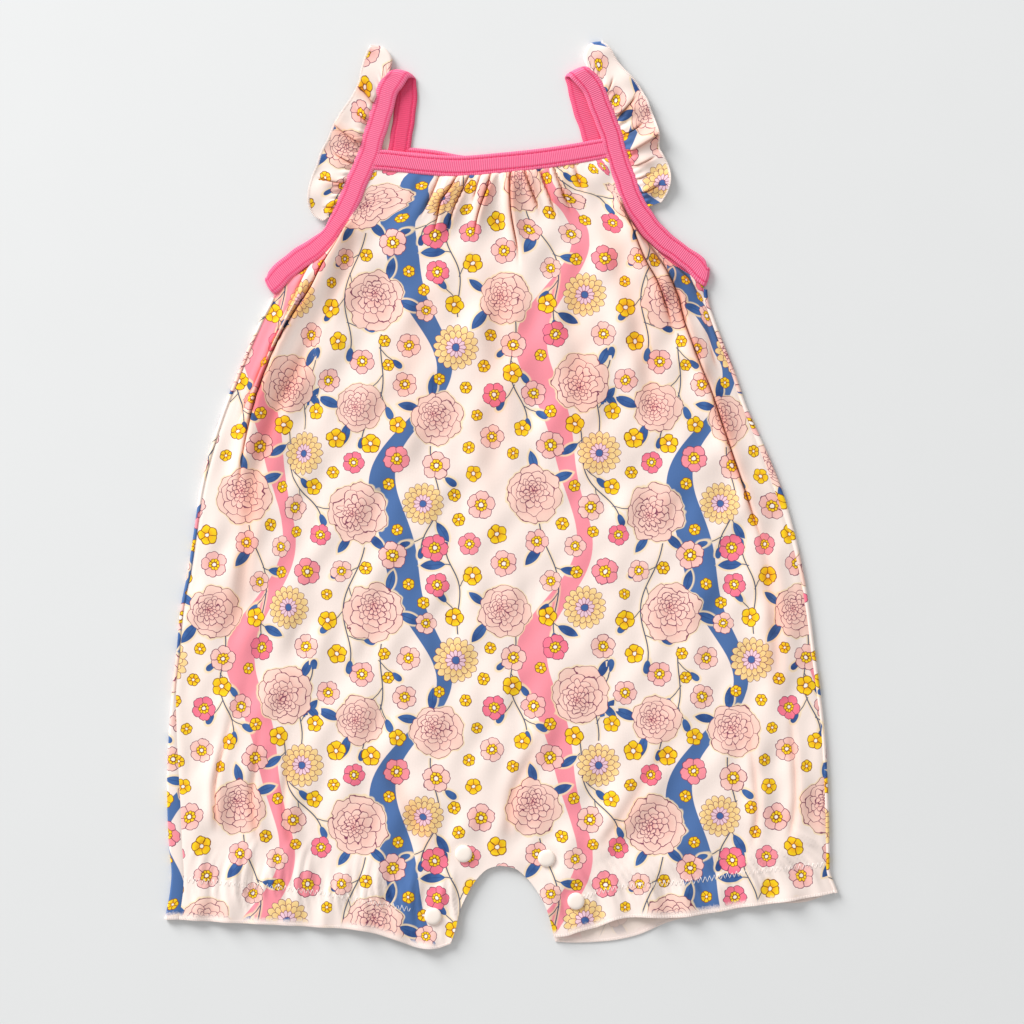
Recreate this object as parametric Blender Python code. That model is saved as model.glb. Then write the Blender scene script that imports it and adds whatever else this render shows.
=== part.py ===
"""Baby romper laid flat on its back: printed jersey front and back, rib bindings that run on as
shoulder straps, gathered ruffles on the straps and crotch snaps.

Tables and sizes are in millimetres on a plan whose x runs to the right, y towards the shoulders and
z up from the surface that the garment lies on. Every mesh is made at that size and stored in metres.
"""

import math
from collections import namedtuple

import bmesh
import bpy
import numpy as np

MM = 0.001

# Cloth
JERSEY = 1.2  # wall of the printed jersey
RIB = 1.6  # wall of the folded rib binding
SEAM_GAP = 0.3  # space between two pieces at a seam
ARMHOLE_GAP = 0.45  # the same along the curved armholes
RUFFLE_GAP = 0.8  # and between a strap and its ruffle
FRONT_LEVEL = RIB + SEAM_GAP  # underside of the front layer where it lies flat
STRAP_WIDTH = 12.0
NECK_BINDING_WIDTH = 11.4
BINDING_EDGE = 0.8  # how far a binding's rounded edge reaches in
BINDING_EDGE_DROP = 0.35  # share of the rib by which a neck binding is thinner at its edges, each side
NECK_BINDING_CELLS = 26
SHARP_ANGLE = math.radians(50)
CLOTH_ROUGHNESS = 0.85

# Grid of the front panel and of the back panel
FRONT_ARMHOLE_CELLS = 10
FRONT_NECK_CELLS = 30
BACK_ARMHOLE_CELLS = 8
BACK_NECK_CELLS = 6
TRUNK_ROWS = 22
LEG_ROWS = 8
ROW_CROWDING = 1.35  # rows lie closer together towards the neck
NECK_CROWDING = 0.055  # the front's columns lie closer together where the neck is gathered
CORNER_CELL = 5.0  # an armhole edge starts this far from the underarm corner
NECK_CORNER = 0.2  # a neck edge keeps this far from the straps' edges

# Side outline of the body: the fold of the cloth, with how far inside it the side seam lies
Side = namedtuple("Side", "y left right left_seam right_seam")
SIDES = (
    Side(114, -124.5, 113.4, 2.2, 2.2),
    Side(108, -126.6, 113.8, 2.2, 2.2),
    Side(96, -132.7, 117.6, 2.2, 2.2),
    Side(69, -144.2, 128.0, 2.2, 2.2),
    Side(47, -153.0, 135.7, 2.2, 2.4),
    Side(25, -160.2, 145.6, 2.2, 3.4),
    Side(3, -165.7, 154.4, 2.2, 4.2),
    Side(-19, -169.0, 161.0, 2.2, 3.2),
    Side(-41, -172.3, 166.0, 2.2, 2.6),
    Side(-63, -176.6, 169.8, 2.2, 2.4),
    Side(-85, -178.6, 172.6, 2.2, 2.4),
    Side(-107, -181.1, 175.5, 2.4, 2.4),
    Side(-129, -182.8, 178.0, 4.4, 2.2),
    Side(-151, -183.8, 179.4, 6.4, 2.2),
    Side(-173, -183.8, 180.3, 7.6, 2.2),
    Side(-195, -182.7, 180.8, 7.4, 2.2),
    Side(-208, -181.5, 181.2, 7.0, 2.2),
    Side(-219, -182.4, 185.2, 7.4, 2.2),
    Side(-234, -185.3, 186.0, 8.0, 2.2),
)
SIDE_TOP = {-1: 108.2, 1: 112.9}
SIDE_CROTCH = {-1: -183.0, 1: -178.0}  # where the row through the crotch meets the sides
SIDE_HEM = {-1: -233.6, 1: -219.0}

# Crotch arch, from its top to the inner hem corner of each leg
ARCH_TOP = (-0.9, -203.9)
ARCH_LEFT = ((-7.3, -205.8), (-13.6, -211.6), (-18.8, -220.1), (-23.0, -229.5), (-25.1, -238.8))
ARCH_RIGHT = ((7.5, -205.5), (13.8, -210.6), (19.0, -216.8), (24.3, -226.2), (27.0, -234.8))
HEM_CORNER_LEFT = (-27.8, -246.9)
HEM_CORNER_RIGHT = (29.0, -243.4)
CROTCH_ROW_DIP = 19.0  # how far the row through the crotch drops to the arch
CROTCH_ROW_WIDTH = 16.0

# Leg hems between the side and the inner corner, as seen on the front and on the back panel
HEM_FRONT_LEFT = ((-150, -235.2), (-106.3, -237.5), (-72.2, -240.5), (-56.2, -245.4), (-47.0, -248.8),
                  (-35.0, -249.4))
HEM_FRONT_RIGHT = ((36.0, -242.6), (43.0, -240.2), (53.2, -237.7), (63.1, -233.6), (76.3, -232.2),
                   (92.0, -232.8), (113.2, -230.3), (133.0, -226.8), (152.8, -224.2), (168.0, -221.8))
HEM_BACK_LEFT = ((-150, -233.6), (-106.3, -235.6), (-72.2, -238.4), (-56.2, -242.6), (-36.0, -246.0))
HEM_BACK_RIGHT = ((35.0, -246.4), (49.4, -246.3), (65.3, -244.7), (75.8, -242.1), (91.7, -235.3),
                  (113.2, -230.8), (133.0, -227.3), (152.8, -224.9), (167.1, -224.2))
BACK_ARCH_EASE = 1.2  # the back panel keeps this far behind the front panel's arch
BACK_CORNER_DROP = (0.8, -2.6)  # how the back's inner hem corner shows past the front's, on the right leg

# Side edges of the back panel, which turn up and over to the side seams
BACK_INSET = 3.0  # where the back panel's grid ends inside the outline
SIDE_BEND = 0.7  # bevel of the turned edge

# Centre lines of the neck bindings
NECK_FRONT = ((-78, 184.8), (-64, 184.0), (-44.2, 181.8), (-22.5, 180.7), (-1.6, 182.3), (23.5, 185.0),
              (56.5, 190.4), (70, 193.0))
NECK_BACK = ((-66, 186.2), (-52, 185.6), (-38, 184.2), (-20, 181.0), (0, 180.8), (25, 183.2), (46, 187.0),
             (60, 190.0))

# Centre lines of the straps: from the underarm up the front, and from the shoulder down the back
STRAP_FRONT = {
    -1: ((-127.1, 115.6, 3.1), (-120.6, 122.3, 2.8), (-111.5, 129.3, 2.7), (-101.6, 136.9, 2.7),
         (-93.2, 146.2, 2.7), (-86.3, 156.9, 2.7), (-80.9, 168.0, 2.7), (-76.6, 178.5, 2.7),
         (-72.9, 187.3, 2.75), (-68.9, 200.5, 2.9), (-64.6, 215.0, 3.4), (-60.6, 226.0, 4.1),
         (-57.0, 231.4, 4.4)),
    1: ((112.7, 120.5, 3.1), (106.0, 127.6, 2.8), (98.0, 133.6, 2.7), (88.1, 141.4, 2.7),
        (79.4, 150.9, 2.7), (73.0, 161.0, 2.7), (68.8, 170.9, 2.7), (65.3, 181.2, 2.7),
        (62.2, 191.8, 2.75), (59.3, 201.2, 2.9), (56.4, 210.0, 3.3), (53.1, 218.2, 3.7),
        (49.2, 225.0, 4.1), (44.6, 229.8, 4.4)),
}
STRAP_BACK = {
    -1: ((-52.6, 230.6, 0.8), (-52.0, 221.5, 0.8), (-53.7, 207.4, 0.8), (-56.0, 190.7, 0.8),
         (-59.0, 179.0, 0.8), (-64.5, 167.0, 0.8), (-73.0, 154.5, 0.8), (-84.5, 142.0, 0.8),
         (-98.5, 129.6, 0.8), (-112.5, 120.6, 0.8), (-126.6, 114.9, 0.8)),
    1: ((41.6, 229.4, 0.8), (44.2, 217.7, 0.8), (48.4, 203.9, 0.8), (52.2, 190.7, 0.8),
        (55.2, 180.0, 0.8), (59.8, 168.5, 0.8), (67.0, 156.5, 0.8), (77.0, 144.5, 0.8),
        (89.0, 133.6, 0.8), (101.0, 125.8, 0.8), (112.4, 120.0, 0.8)),
}
SHOULDER_FOLD = {-1: (0.974, -0.226), 1: (-0.90, -0.43)}  # fold lines, towards the neck
UNDERARM_FOLD = {-1: (0.44, -0.90), 1: (-0.20, -0.98)}
STRAP_STEP = 5.5  # longest stretch between two sections of a strap
TURN_STEPS = 6  # sections around the fold at the shoulder or the underarm
LEVEL_LEAD = 1.2  # a strap lies level for this far before it turns
LEAD_SHARE = 0.9  # turn share at the start of that stretch
EDGE_POINTS = 400  # points on a strap's edge line

# Free outer edges of the ruffles, from their front end up to the tip over the shoulder
RUFFLE_FRONT = {
    -1: ((-98.0, 150.6), (-102.5, 152.9), (-105.9, 158.3), (-106.3, 165.7), (-104.4, 174.5), (-101.6, 181.0),
         (-99.6, 188.0), (-95.8, 194.8), (-92.3, 203.0), (-88.0, 209.8), (-83.6, 215.6), (-80.0, 221.5),
         (-79.0, 229.0), (-77.6, 235.8), (-75.2, 242.0), (-72.2, 247.2)),
    1: ((88.3, 161.0), (91.6, 166.5), (93.2, 172.0), (92.7, 179.0), (90.0, 185.5), (87.2, 190.5),
        (87.0, 197.0), (85.4, 203.5), (82.6, 211.4), (79.6, 219.0), (75.6, 226.0), (70.0, 231.2),
        (66.4, 236.0), (64.4, 242.0), (60.6, 246.9), (56.0, 249.4)),
}
RUFFLE_BACK = {
    -1: ((-72.0, 243.6), (-74.0, 233.0), (-75.5, 222.0), (-79.0, 211.0), (-82.0, 198.0), (-83.0, 186.0),
         (-82.0, 176.0)),
    1: ((57.5, 245.4), (61.5, 235.0), (66.0, 224.0), (71.0, 213.0), (75.0, 200.0), (77.0, 188.0),
        (77.0, 177.0)),
}
# Fold of each ruffle over the shoulder, from the strap out to the tip
RUFFLE_FOLD = {
    -1: ((-61.4, 240.6), (-65.2, 245.6), (-72.2, 247.2)),
    1: ((46.8, 242.6), (49.6, 247.7), (56.0, 249.4)),
}
RUFFLE_FRONT_END = {-1: 153.0, 1: 158.0}  # y at which the ruffle starts on the front of the strap
RUFFLE_BACK_END = {-1: 172.0, 1: 174.0}
RUFFLE_CELLS = 5
RUFFLE_FRONT_ROWS = 30
RUFFLE_FOLD_ROWS = 5
RUFFLE_BACK_ROWS = 9
RUFFLE_BLEND_FROM = 0.6  # share of the front at which its rows start to turn towards the fold
RUFFLE_BLEND_POWER = 6
RUFFLE_RISE = 1.2  # power with which a wave rises from the strap to the free edge
# Waves of the ruffles: place along the front, 0 at its end and 1 at the shoulder
Wave = namedtuple("Wave", "place height width")
RUFFLE_WAVES = {
    -1: (Wave(0.16, 3.0, 0.070), Wave(0.33, 2.2, 0.045), Wave(0.47, 3.2, 0.055), Wave(0.63, 2.4, 0.050),
         Wave(0.80, 3.4, 0.060), Wave(0.95, 1.4, 0.040)),
    1: (Wave(0.13, 3.0, 0.060), Wave(0.28, 2.0, 0.040), Wave(0.43, 3.6, 0.050), Wave(0.57, 3.0, 0.045),
        Wave(0.72, 2.2, 0.050), Wave(0.90, 2.8, 0.055)),
}

# Folds of the front panel: the ridge's course, its height and how far it falls away to each side
Fold = namedtuple("Fold", "start_x start_y bend_x bend_y end_x end_y height left right")
NECK_GATHERS = (
    Fold(-52, 179, -54, 168, -57, 154, 0.8, 3.5, 4.0),
    Fold(-36, 177, -40, 165, -48, 146, 1.0, 3.2, 4.5),
    Fold(-25, 175, -32, 163, -40, 143, 3.0, 2.4, 4.0),
    Fold(-17, 175, -23, 161, -30, 138, 3.2, 2.4, 3.2),
    Fold(-9, 176, -12, 160, -18, 136, 2.8, 2.6, 3.0),
    Fold(-1, 177, -2, 160, -4, 128, 3.2, 2.6, 2.8),
    Fold(7, 178, 9, 158, 11, 130, 3.6, 2.8, 2.4),
    Fold(15, 179, 18, 162, 22, 134, 3.2, 2.4, 3.0),
    Fold(23, 180, 27, 166, 32, 140, 2.8, 2.6, 3.2),
    Fold(31, 181, 36, 168, 43, 144, 1.6, 2.8, 3.6),
    Fold(40, 182, 44, 170, 50, 150, 1.0, 3.4, 4.0),
)
BODY_FOLDS = (
    Fold(-92, 139, -116, 86, -138, 20, 4.6, 3.0, 11.0),
    Fold(-138, 30, -146, -20, -150, -90, 2.6, 6.0, 12.0),
    Fold(-113, 118, -128, 80, -141, 52, 1.8, 6.0, 8.0),
    Fold(-74, 160, -88, 120, -98, 70, 1.6, 7.0, 9.0),
    Fold(84, 133, 108, 78, 146, -34, 4.4, 3.2, 12.0),
    Fold(70, 146, 84, 116, 96, 84, 3.0, 3.0, 8.0),
    Fold(98, 122, 108, 100, 117, 74, 2.2, 3.5, 6.0),
    Fold(144, -30, 150, -70, 152, -120, 1.8, 8.0, 9.0),
    Fold(52, 150, 66, 96, 76, 20, 1.4, 8.0, 12.0),
    Fold(-6, 120, -4, 60, -10, -10, 1.0, 12.0, 14.0),
    Fold(-160, -128, -163, -160, -158, -186, 2.2, 3.0, 7.0),
    Fold(-146, -140, -146, -168, -138, -198, 1.6, 5.0, 6.0),
    Fold(-130, -150, -128, -176, -120, -202, 1.4, 5.0, 6.0),
    Fold(-70, -150, -52, -176, -36, -206, 1.2, 7.0, 8.0),
    Fold(20, -140, 6, -166, 2, -192, 1.4, 5.0, 7.0),
    Fold(88, -150, 66, -178, 50, -202, 1.3, 7.0, 8.0),
    Fold(150, -150, 150, -178, 146, -200, 1.3, 6.0, 7.0),
)
FOLD_POINTS = 25
FOLD_START = 0.35  # share of its height that a fold has at its start
FOLD_RISE = 4.0  # how fast it rises from there, by the share of its course
FOLD_FALL = 2.2  # how fast it fades to nothing at its end
FOLD_FALL_POWER = 1.5
FOLD_END_REACH = 6.0  # how far a fold runs on past its ends
SEAM_HOLD = 0.65  # share of a fold's height that a seam takes away at the edge
SEAM_REACH = 6.0
LEG_WAVES = {
    -1: (Wave(0.06, 1.2, 0.030), Wave(0.17, 1.6, 0.035), Wave(0.28, 1.0, 0.030), Wave(0.40, 1.6, 0.035),
         Wave(0.52, 1.2, 0.030), Wave(0.66, 1.8, 0.040), Wave(0.80, 1.4, 0.035), Wave(0.92, 1.0, 0.030)),
    1: (Wave(0.10, 1.6, 0.035), Wave(0.22, 1.2, 0.030), Wave(0.35, 2.0, 0.040), Wave(0.48, 1.2, 0.030),
        Wave(0.60, 1.6, 0.035), Wave(0.72, 1.2, 0.030), Wave(0.84, 2.0, 0.040), Wave(0.95, 1.0, 0.025)),
}
ELASTIC_ABOVE_HEM = 20.0
ELASTIC_PINCH = 0.65  # share of a wave's height that the elastic takes away
ELASTIC_WIDTH = 7.0
LEG_WAVE_REACH = 44.0  # how far up the leg the waves die out
JOIN_ROWS = 3  # rows over which a leg's waves grow from the trunk's folds

# Crotch snaps
SNAPS = ((-37.5, -231.7), (-20.7, -197.4), (24.9, -199.8), (41.1, -223.4))
SNAP_RADIUS = 4.7
SNAP_HEIGHT = 2.0
SNAP_SIDES = 20
SNAP_CLEAR = 9.0  # the cloth lies flat this far around a snap
SNAP_ROUGHNESS = 0.35
# Outline of a snap cap from its flat base to its top, in shares of its radius and height
Rim = namedtuple("Rim", "radius height")
SNAP_RIM = (Rim(0.0, 0.0), Rim(0.86, 0.0), Rim(1.0, 0.22), Rim(0.97, 0.45), Rim(0.80, 0.76), Rim(0.50, 0.94),
            Rim(0.0, 1.0))

PRINT_GROUND = (0.93, 0.79, 0.72)
BACK_GROUND = (0.90, 0.76, 0.70)
RIB_PINK = (0.93, 0.17, 0.33)
SNAP_CREAM = (0.93, 0.85, 0.74)


# Curves

def lengths_along(points):
    steps = np.linalg.norm(np.diff(points, axis=0), axis=1)
    return np.concatenate([[0.0], np.cumsum(steps)])


def smooth_curve(points, closed=False, step=1.0):
    """Points on a smooth curve through the given ones, which it keeps, at most `step` apart."""
    knots = np.array(points, float)
    if closed:
        knots = np.vstack([knots[-1:], knots, knots[:2]])
    place = lengths_along(knots)
    slopes = np.gradient(knots, place, axis=0)
    first, last = (1, len(knots) - 2) if closed else (0, len(knots) - 1)
    found = []
    for k in range(first, last):
        span = place[k + 1] - place[k]
        count = max(1, math.ceil(span / step))
        for t in np.arange(count) / count:
            found.append(
                (1 + 2 * t) * (1 - t) ** 2 * knots[k]
                + t * (1 - t) ** 2 * span * slopes[k]
                + t * t * (3 - 2 * t) * knots[k + 1]
                + t * t * (t - 1) * span * slopes[k + 1]
            )
    if not closed:
        found.append(knots[-1])
    return np.array(found)


def spaced(curve, shares):
    """The points of a polyline at the given shares of its length."""
    place = lengths_along(curve)
    wanted = np.asarray(shares) * place[-1]
    return np.stack([np.interp(wanted, place, curve[:, k]) for k in range(curve.shape[1])], axis=1)


def even(points, cells):
    """`cells` + 1 evenly spaced points on the smooth curve through the given ones."""
    return spaced(smooth_curve(points), np.linspace(0, 1, cells + 1))


def bell(values, middle, width):
    return np.exp(-(((values - middle) / width) ** 2))


# Sides of the body

SIDE_TABLE = np.array(SIDES)[::-1]
SIDE_CURVES = {
    -1: smooth_curve(SIDE_TABLE[:, [0, 1, 3]]),
    1: smooth_curve(SIDE_TABLE[:, [0, 2, 4]]),
}


def side_point(side, y, inset=0.0):
    """A point on the body's side outline, moved in by `inset`."""
    curve = SIDE_CURVES[side]
    return np.array([np.interp(y, curve[:, 0], curve[:, 1]) - side * inset, y])


def seam_inset(side, y):
    curve = SIDE_CURVES[side]
    return np.interp(y, curve[:, 0], curve[:, 2])


# Straps

def turn(start, end, outward):
    """Points round a half circle from one layer to the other, bulging along `outward`."""
    start, end = np.array(start), np.array(end)
    radius = abs(end[2] - start[2]) / 2
    angles = np.pi * np.arange(1, TURN_STEPS) / TURN_STEPS
    middle = (start + end) / 2
    along = (end - start) / 2
    out = np.array([outward[0], outward[1], 0.0])
    points = [middle - along * math.cos(a) + out * radius * math.sin(a) for a in angles]
    return [np.append(point, 1.0) for point in points]


def level_ends(points):
    """A stretch with its turn share: 1 at its ends, with a station near each that keeps it level."""
    points = np.array(points, float)

    def level(end, inner):
        step = inner - end
        step[2] = 0.0
        return end + step * LEVEL_LEAD / np.linalg.norm(step)

    stations = [points[0], level(points[0], points[1]), *points[1:-1], level(points[-1], points[-2]),
                points[-1]]
    shares = [1.0, LEAD_SHARE, *np.zeros(len(points) - 2), LEAD_SHARE, 1.0]
    return [np.append(station, share) for station, share in zip(stations, shares)]


def outward_of(fold, side):
    """Level direction across a fold line, away from the strap that folds over it."""
    line = np.array(fold) / np.linalg.norm(fold)
    return np.array([line[1], -line[0]]) * side


def strap_sections(side):
    """Stations of a strap's ring and, at each, the level unit vector across it towards the neck."""
    front, back = STRAP_FRONT[side], STRAP_BACK[side]
    shoulder = turn(front[-1], back[0], outward_of(SHOULDER_FOLD[side], side))
    underarm = turn(back[-1], front[0], -outward_of(UNDERARM_FOLD[side], side))
    knots = [*level_ends(front), *shoulder, *level_ends(back), *underarm]
    ring = smooth_curve(knots, closed=True, step=STRAP_STEP)
    share = np.clip(ring[:, 3:], 0, 1)
    ring = ring[:, :3]
    tangents = np.roll(ring, -1, axis=0) - np.roll(ring, 1, axis=0)
    tangents /= np.linalg.norm(tangents, axis=1)[:, None]
    low, high = front[0][1], front[-1][1]
    folds = np.where(ring[:, 1:2] > (low + high) / 2, SHOULDER_FOLD[side], UNDERARM_FOLD[side])
    square = np.stack([tangents[:, 1], -tangents[:, 0]], axis=1)
    square *= np.sign((square * folds).sum(axis=1))[:, None]
    square /= np.linalg.norm(square, axis=1)[:, None] + 1e-9
    level = (1 - share) * square + share * folds
    across = np.hstack([level / np.linalg.norm(level, axis=1)[:, None], np.zeros((len(ring), 1))])
    return ring, tangents, across


def strap_edge(side, layer, offset):
    """Edge line of a strap's front or back stretch, from the underarm up, `offset` off its centre."""
    ring, _, across = strap_sections(side)
    points = np.array(STRAP_FRONT[side] if layer == "front" else STRAP_BACK[side])
    first, last = (np.linalg.norm(ring - end, axis=1).argmin() for end in (points[0], points[-1]))
    edge = (ring + across * offset)[first : last + 1]
    return spaced(edge if layer == "front" else edge[::-1], np.linspace(0, 1, EDGE_POINTS))


# Panels

def neck_edge(layer, across):
    """A line along a neck binding, `across` above its centre line."""
    centre = smooth_curve(NECK_FRONT if layer == "front" else NECK_BACK)
    return centre + np.array([0.0, across])


def crossing(strap, line):
    """Index on the strap's edge and x on the neck line at which the two meet."""
    heights = np.interp(strap[:, 0], line[:, 0], line[:, 1])
    over = np.nonzero(strap[:, 1] >= heights)[0][0]
    return over, strap[over, 0]


def top_curves(layer, corner_gap):
    """Armhole and neck edges of a panel: left armhole, neck, right armhole, from left to right."""
    neck = neck_edge(layer, -NECK_BINDING_WIDTH / 2 - SEAM_GAP)
    armholes, ends = {}, {}
    for side in (-1, 1):
        edge = strap_edge(side, layer, STRAP_WIDTH / 2 + ARMHOLE_GAP)[:, :2]
        stop, ends[side] = crossing(edge, neck)
        corner = side_point(side, SIDE_TOP[side], corner_gap(side))
        start = np.nonzero(np.linalg.norm(edge - corner, axis=1) > CORNER_CELL)[0]
        start = start[start < stop]
        armholes[side] = np.vstack([corner, edge[start[0] : stop]])
    inside = neck[(neck[:, 0] > ends[-1] + NECK_CORNER) & (neck[:, 0] < ends[1] - NECK_CORNER)]
    return armholes[-1], inside, armholes[1][::-1]


def coons(top, bottom, left, right, shares):
    """Patch between four curves; top and bottom run to the right, left and right run down."""
    u = np.linspace(0, 1, len(top))[None, :, None]
    v = np.asarray(shares)[:, None, None]
    ruled = (1 - v) * top[None] + v * bottom[None] + (1 - u) * left[:, None] + u * right[:, None]
    corners = (1 - v) * ((1 - u) * top[0] + u * top[-1]) + v * ((1 - u) * bottom[0] + u * bottom[-1])
    return ruled - corners


def neck_shares(layer, cells):
    """Shares of the neck's length; the front's columns crowd where the cloth is gathered."""
    even_shares = np.linspace(0, 1, cells + 1)
    if layer == "back":
        return even_shares
    return even_shares + NECK_CROWDING * np.sin(2 * np.pi * even_shares)


def panel_plan(layer, inset):
    """Plan points of a panel: the trunk, then the left and the right leg, as arrays of rows."""
    cells = FRONT_ARMHOLE_CELLS if layer == "front" else BACK_ARMHOLE_CELLS
    neck_cells = FRONT_NECK_CELLS if layer == "front" else BACK_NECK_CELLS
    left_armhole, neck, right_armhole = top_curves(layer, lambda side: inset(side, SIDE_TOP[side]))
    top = np.vstack([
        spaced(left_armhole, np.linspace(0, 1, cells + 1))[:-1],
        spaced(neck, neck_shares(layer, neck_cells)),
        spaced(right_armhole, np.linspace(0, 1, cells + 1))[1:],
    ])
    half = cells + neck_cells // 2
    trunk_shares = np.linspace(0, 1, TRUNK_ROWS + 1) ** ROW_CROWDING
    leg_shares = np.linspace(0, 1, LEG_ROWS + 1)

    def side_rows(side, start, end, shares):
        ys = start + (end - start) * shares
        return np.array([side_point(side, y, inset(side, y)) for y in ys])

    sides = {s: side_rows(s, SIDE_TOP[s], SIDE_CROTCH[s], trunk_shares) for s in (-1, 1)}
    legs = {s: side_rows(s, SIDE_CROTCH[s], SIDE_HEM[s], leg_shares) for s in (-1, 1)}
    ease = 0.0 if layer == "front" else BACK_ARCH_EASE
    arch_top = np.array(ARCH_TOP) + (0, ease)
    bottom = []
    for side, shares in ((-1, np.linspace(1, 0, half + 1)), (1, np.linspace(0, 1, half + 1)[1:])):
        outer = sides[side][-1]
        for share in shares:
            x = arch_top[0] + (outer[0] - arch_top[0]) * share
            away = 1 - math.exp(-abs(x - arch_top[0]) / CROTCH_ROW_WIDTH)
            y = arch_top[1] + CROTCH_ROW_DIP * away + (outer[1] - arch_top[1] - CROTCH_ROW_DIP) * share
            bottom.append((x, y))
    bottom = np.array(bottom)
    trunk = coons(top, bottom, sides[-1], sides[1], trunk_shares)

    def arch(points, corner):
        eased = [(x + math.copysign(ease, x), y + ease / 2) for x, y in points]
        return even([arch_top, *eased, corner], LEG_ROWS)

    corner_left = np.array(HEM_CORNER_LEFT) + (-ease, 1.5 * ease)
    corner_right = np.array(HEM_CORNER_RIGHT) + ((0, 0) if layer == "front" else BACK_CORNER_DROP)
    hem_left = HEM_FRONT_LEFT if layer == "front" else HEM_BACK_LEFT
    hem_right = HEM_FRONT_RIGHT if layer == "front" else HEM_BACK_RIGHT
    left_leg = coons(
        trunk[-1, : half + 1],
        even([legs[-1][-1], *hem_left, corner_left], half),
        legs[-1],
        arch(ARCH_LEFT, corner_left),
        leg_shares,
    )
    right_leg = coons(
        trunk[-1, half:],
        even([corner_right, *hem_right, legs[1][-1]], half),
        arch(ARCH_RIGHT, corner_right),
        legs[1],
        leg_shares,
    )
    return trunk, left_leg, right_leg


def fold_height(plan, fold):
    """Height that one fold adds at each plan point."""
    t = np.linspace(0, 1, FOLD_POINTS)[:, None]
    start = np.array([fold.start_x, fold.start_y])
    bend = np.array([fold.bend_x, fold.bend_y])
    end = np.array([fold.end_x, fold.end_y])
    course = (1 - t) ** 2 * start + 2 * t * (1 - t) * bend + t * t * end
    offset = plan[..., None, :] - course
    nearest = (offset**2).sum(axis=-1).argmin(axis=-1)
    tangents = np.gradient(course, axis=0)
    tangents /= np.linalg.norm(tangents, axis=1)[:, None]
    near = np.take_along_axis(offset, nearest[..., None, None], axis=-2)[..., 0, :]
    along = tangents[nearest]
    beside = near[..., 0] * -along[..., 1] + near[..., 1] * along[..., 0]
    beyond = np.abs((near * along).sum(axis=-1))
    width = np.where(beside < 0, fold.left, fold.right)
    share = t[nearest, 0]
    fade = np.clip(FOLD_RISE * share + FOLD_START, 0, 1)
    fade *= np.clip(FOLD_FALL * (1 - share), 0, 1) ** FOLD_FALL_POWER
    return fold.height * fade * np.exp(-((beside / width) ** 2) - (beyond / FOLD_END_REACH) ** 2)


def snap_fade(plan):
    away = np.ones(plan.shape[:-1])
    for snap in SNAPS:
        distance = np.linalg.norm(plan - np.array(snap), axis=-1)
        away *= 1 - np.exp(-((distance / SNAP_CLEAR) ** 4))
    return away


def front_lift(plan, above_hem=None, along_hem=None, waves=()):
    """Height of the front panel's cloth over its flat lie."""
    lift = sum(fold_height(plan, fold) for fold in (*NECK_GATHERS, *BODY_FOLDS))
    if above_hem is not None:
        pinch = 1 - ELASTIC_PINCH * bell(above_hem, ELASTIC_ABOVE_HEM, ELASTIC_WIDTH)
        reach = bell(above_hem, 0.0, LEG_WAVE_REACH)
        lift = lift + sum(w.height * bell(along_hem, w.place, w.width) for w in waves) * reach * pinch
    return lift * snap_fade(plan)


def with_walls(plan, lift, thickness, level):
    """Inner and outer wall points of a cloth that lies `lift` over `level`."""
    middle = np.dstack([plan, level + thickness / 2 + lift])
    down = np.gradient(middle, axis=0)
    across = np.gradient(middle, axis=1)
    normals = np.cross(down, across)
    normals *= np.sign(normals[..., 2:]) / np.linalg.norm(normals, axis=-1)[..., None]
    return middle - normals * thickness / 2, middle + normals * thickness / 2


def distance_from_top(plan):
    steps = np.linalg.norm(np.diff(plan, axis=0), axis=-1)
    return np.vstack([np.zeros((1, plan.shape[1])), np.cumsum(steps, axis=0)])


def distance_to_side(block, side):
    edge = np.array([[side_point(side, y, seam_inset(side, y))[0] for y in row[:, 1]] for row in block])
    return np.abs(block[..., 0] - edge)


def seam_fade(distance, hold=SEAM_HOLD):
    return 1 - hold * np.exp(-((distance / SEAM_REACH) ** 2))


def front_blocks():
    """Wall points of the front panel's trunk and legs."""
    trunk, left_leg, right_leg = panel_plan("front", lambda side, y: seam_inset(side, y) + SEAM_GAP)
    blocks = []
    lift = front_lift(trunk) * seam_fade(distance_from_top(trunk))
    lift *= seam_fade(distance_to_side(trunk, -1), 1.0) * seam_fade(distance_to_side(trunk, 1), 1.0)
    last = lift[-1]
    blocks.append(with_walls(trunk, lift, JERSEY, FRONT_LEVEL))
    for side, leg in ((-1, left_leg), (1, right_leg)):
        rows, columns = leg.shape[:2]
        above = distance_from_top(leg[::-1])[::-1]
        along = np.broadcast_to(np.linspace(0, 1, columns), (rows, columns))
        lift = front_lift(leg, above, along, LEG_WAVES[side])
        lift *= seam_fade(distance_to_side(leg, side), 1.0)
        meets = last[:columns] if side < 0 else last[-columns:]
        join = np.clip(np.arange(rows) / JOIN_ROWS, 0, 1)[:, None]
        lift = join * lift + (1 - join) * meets
        blocks.append(with_walls(leg, lift, JERSEY, FRONT_LEVEL))
    return blocks


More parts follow.
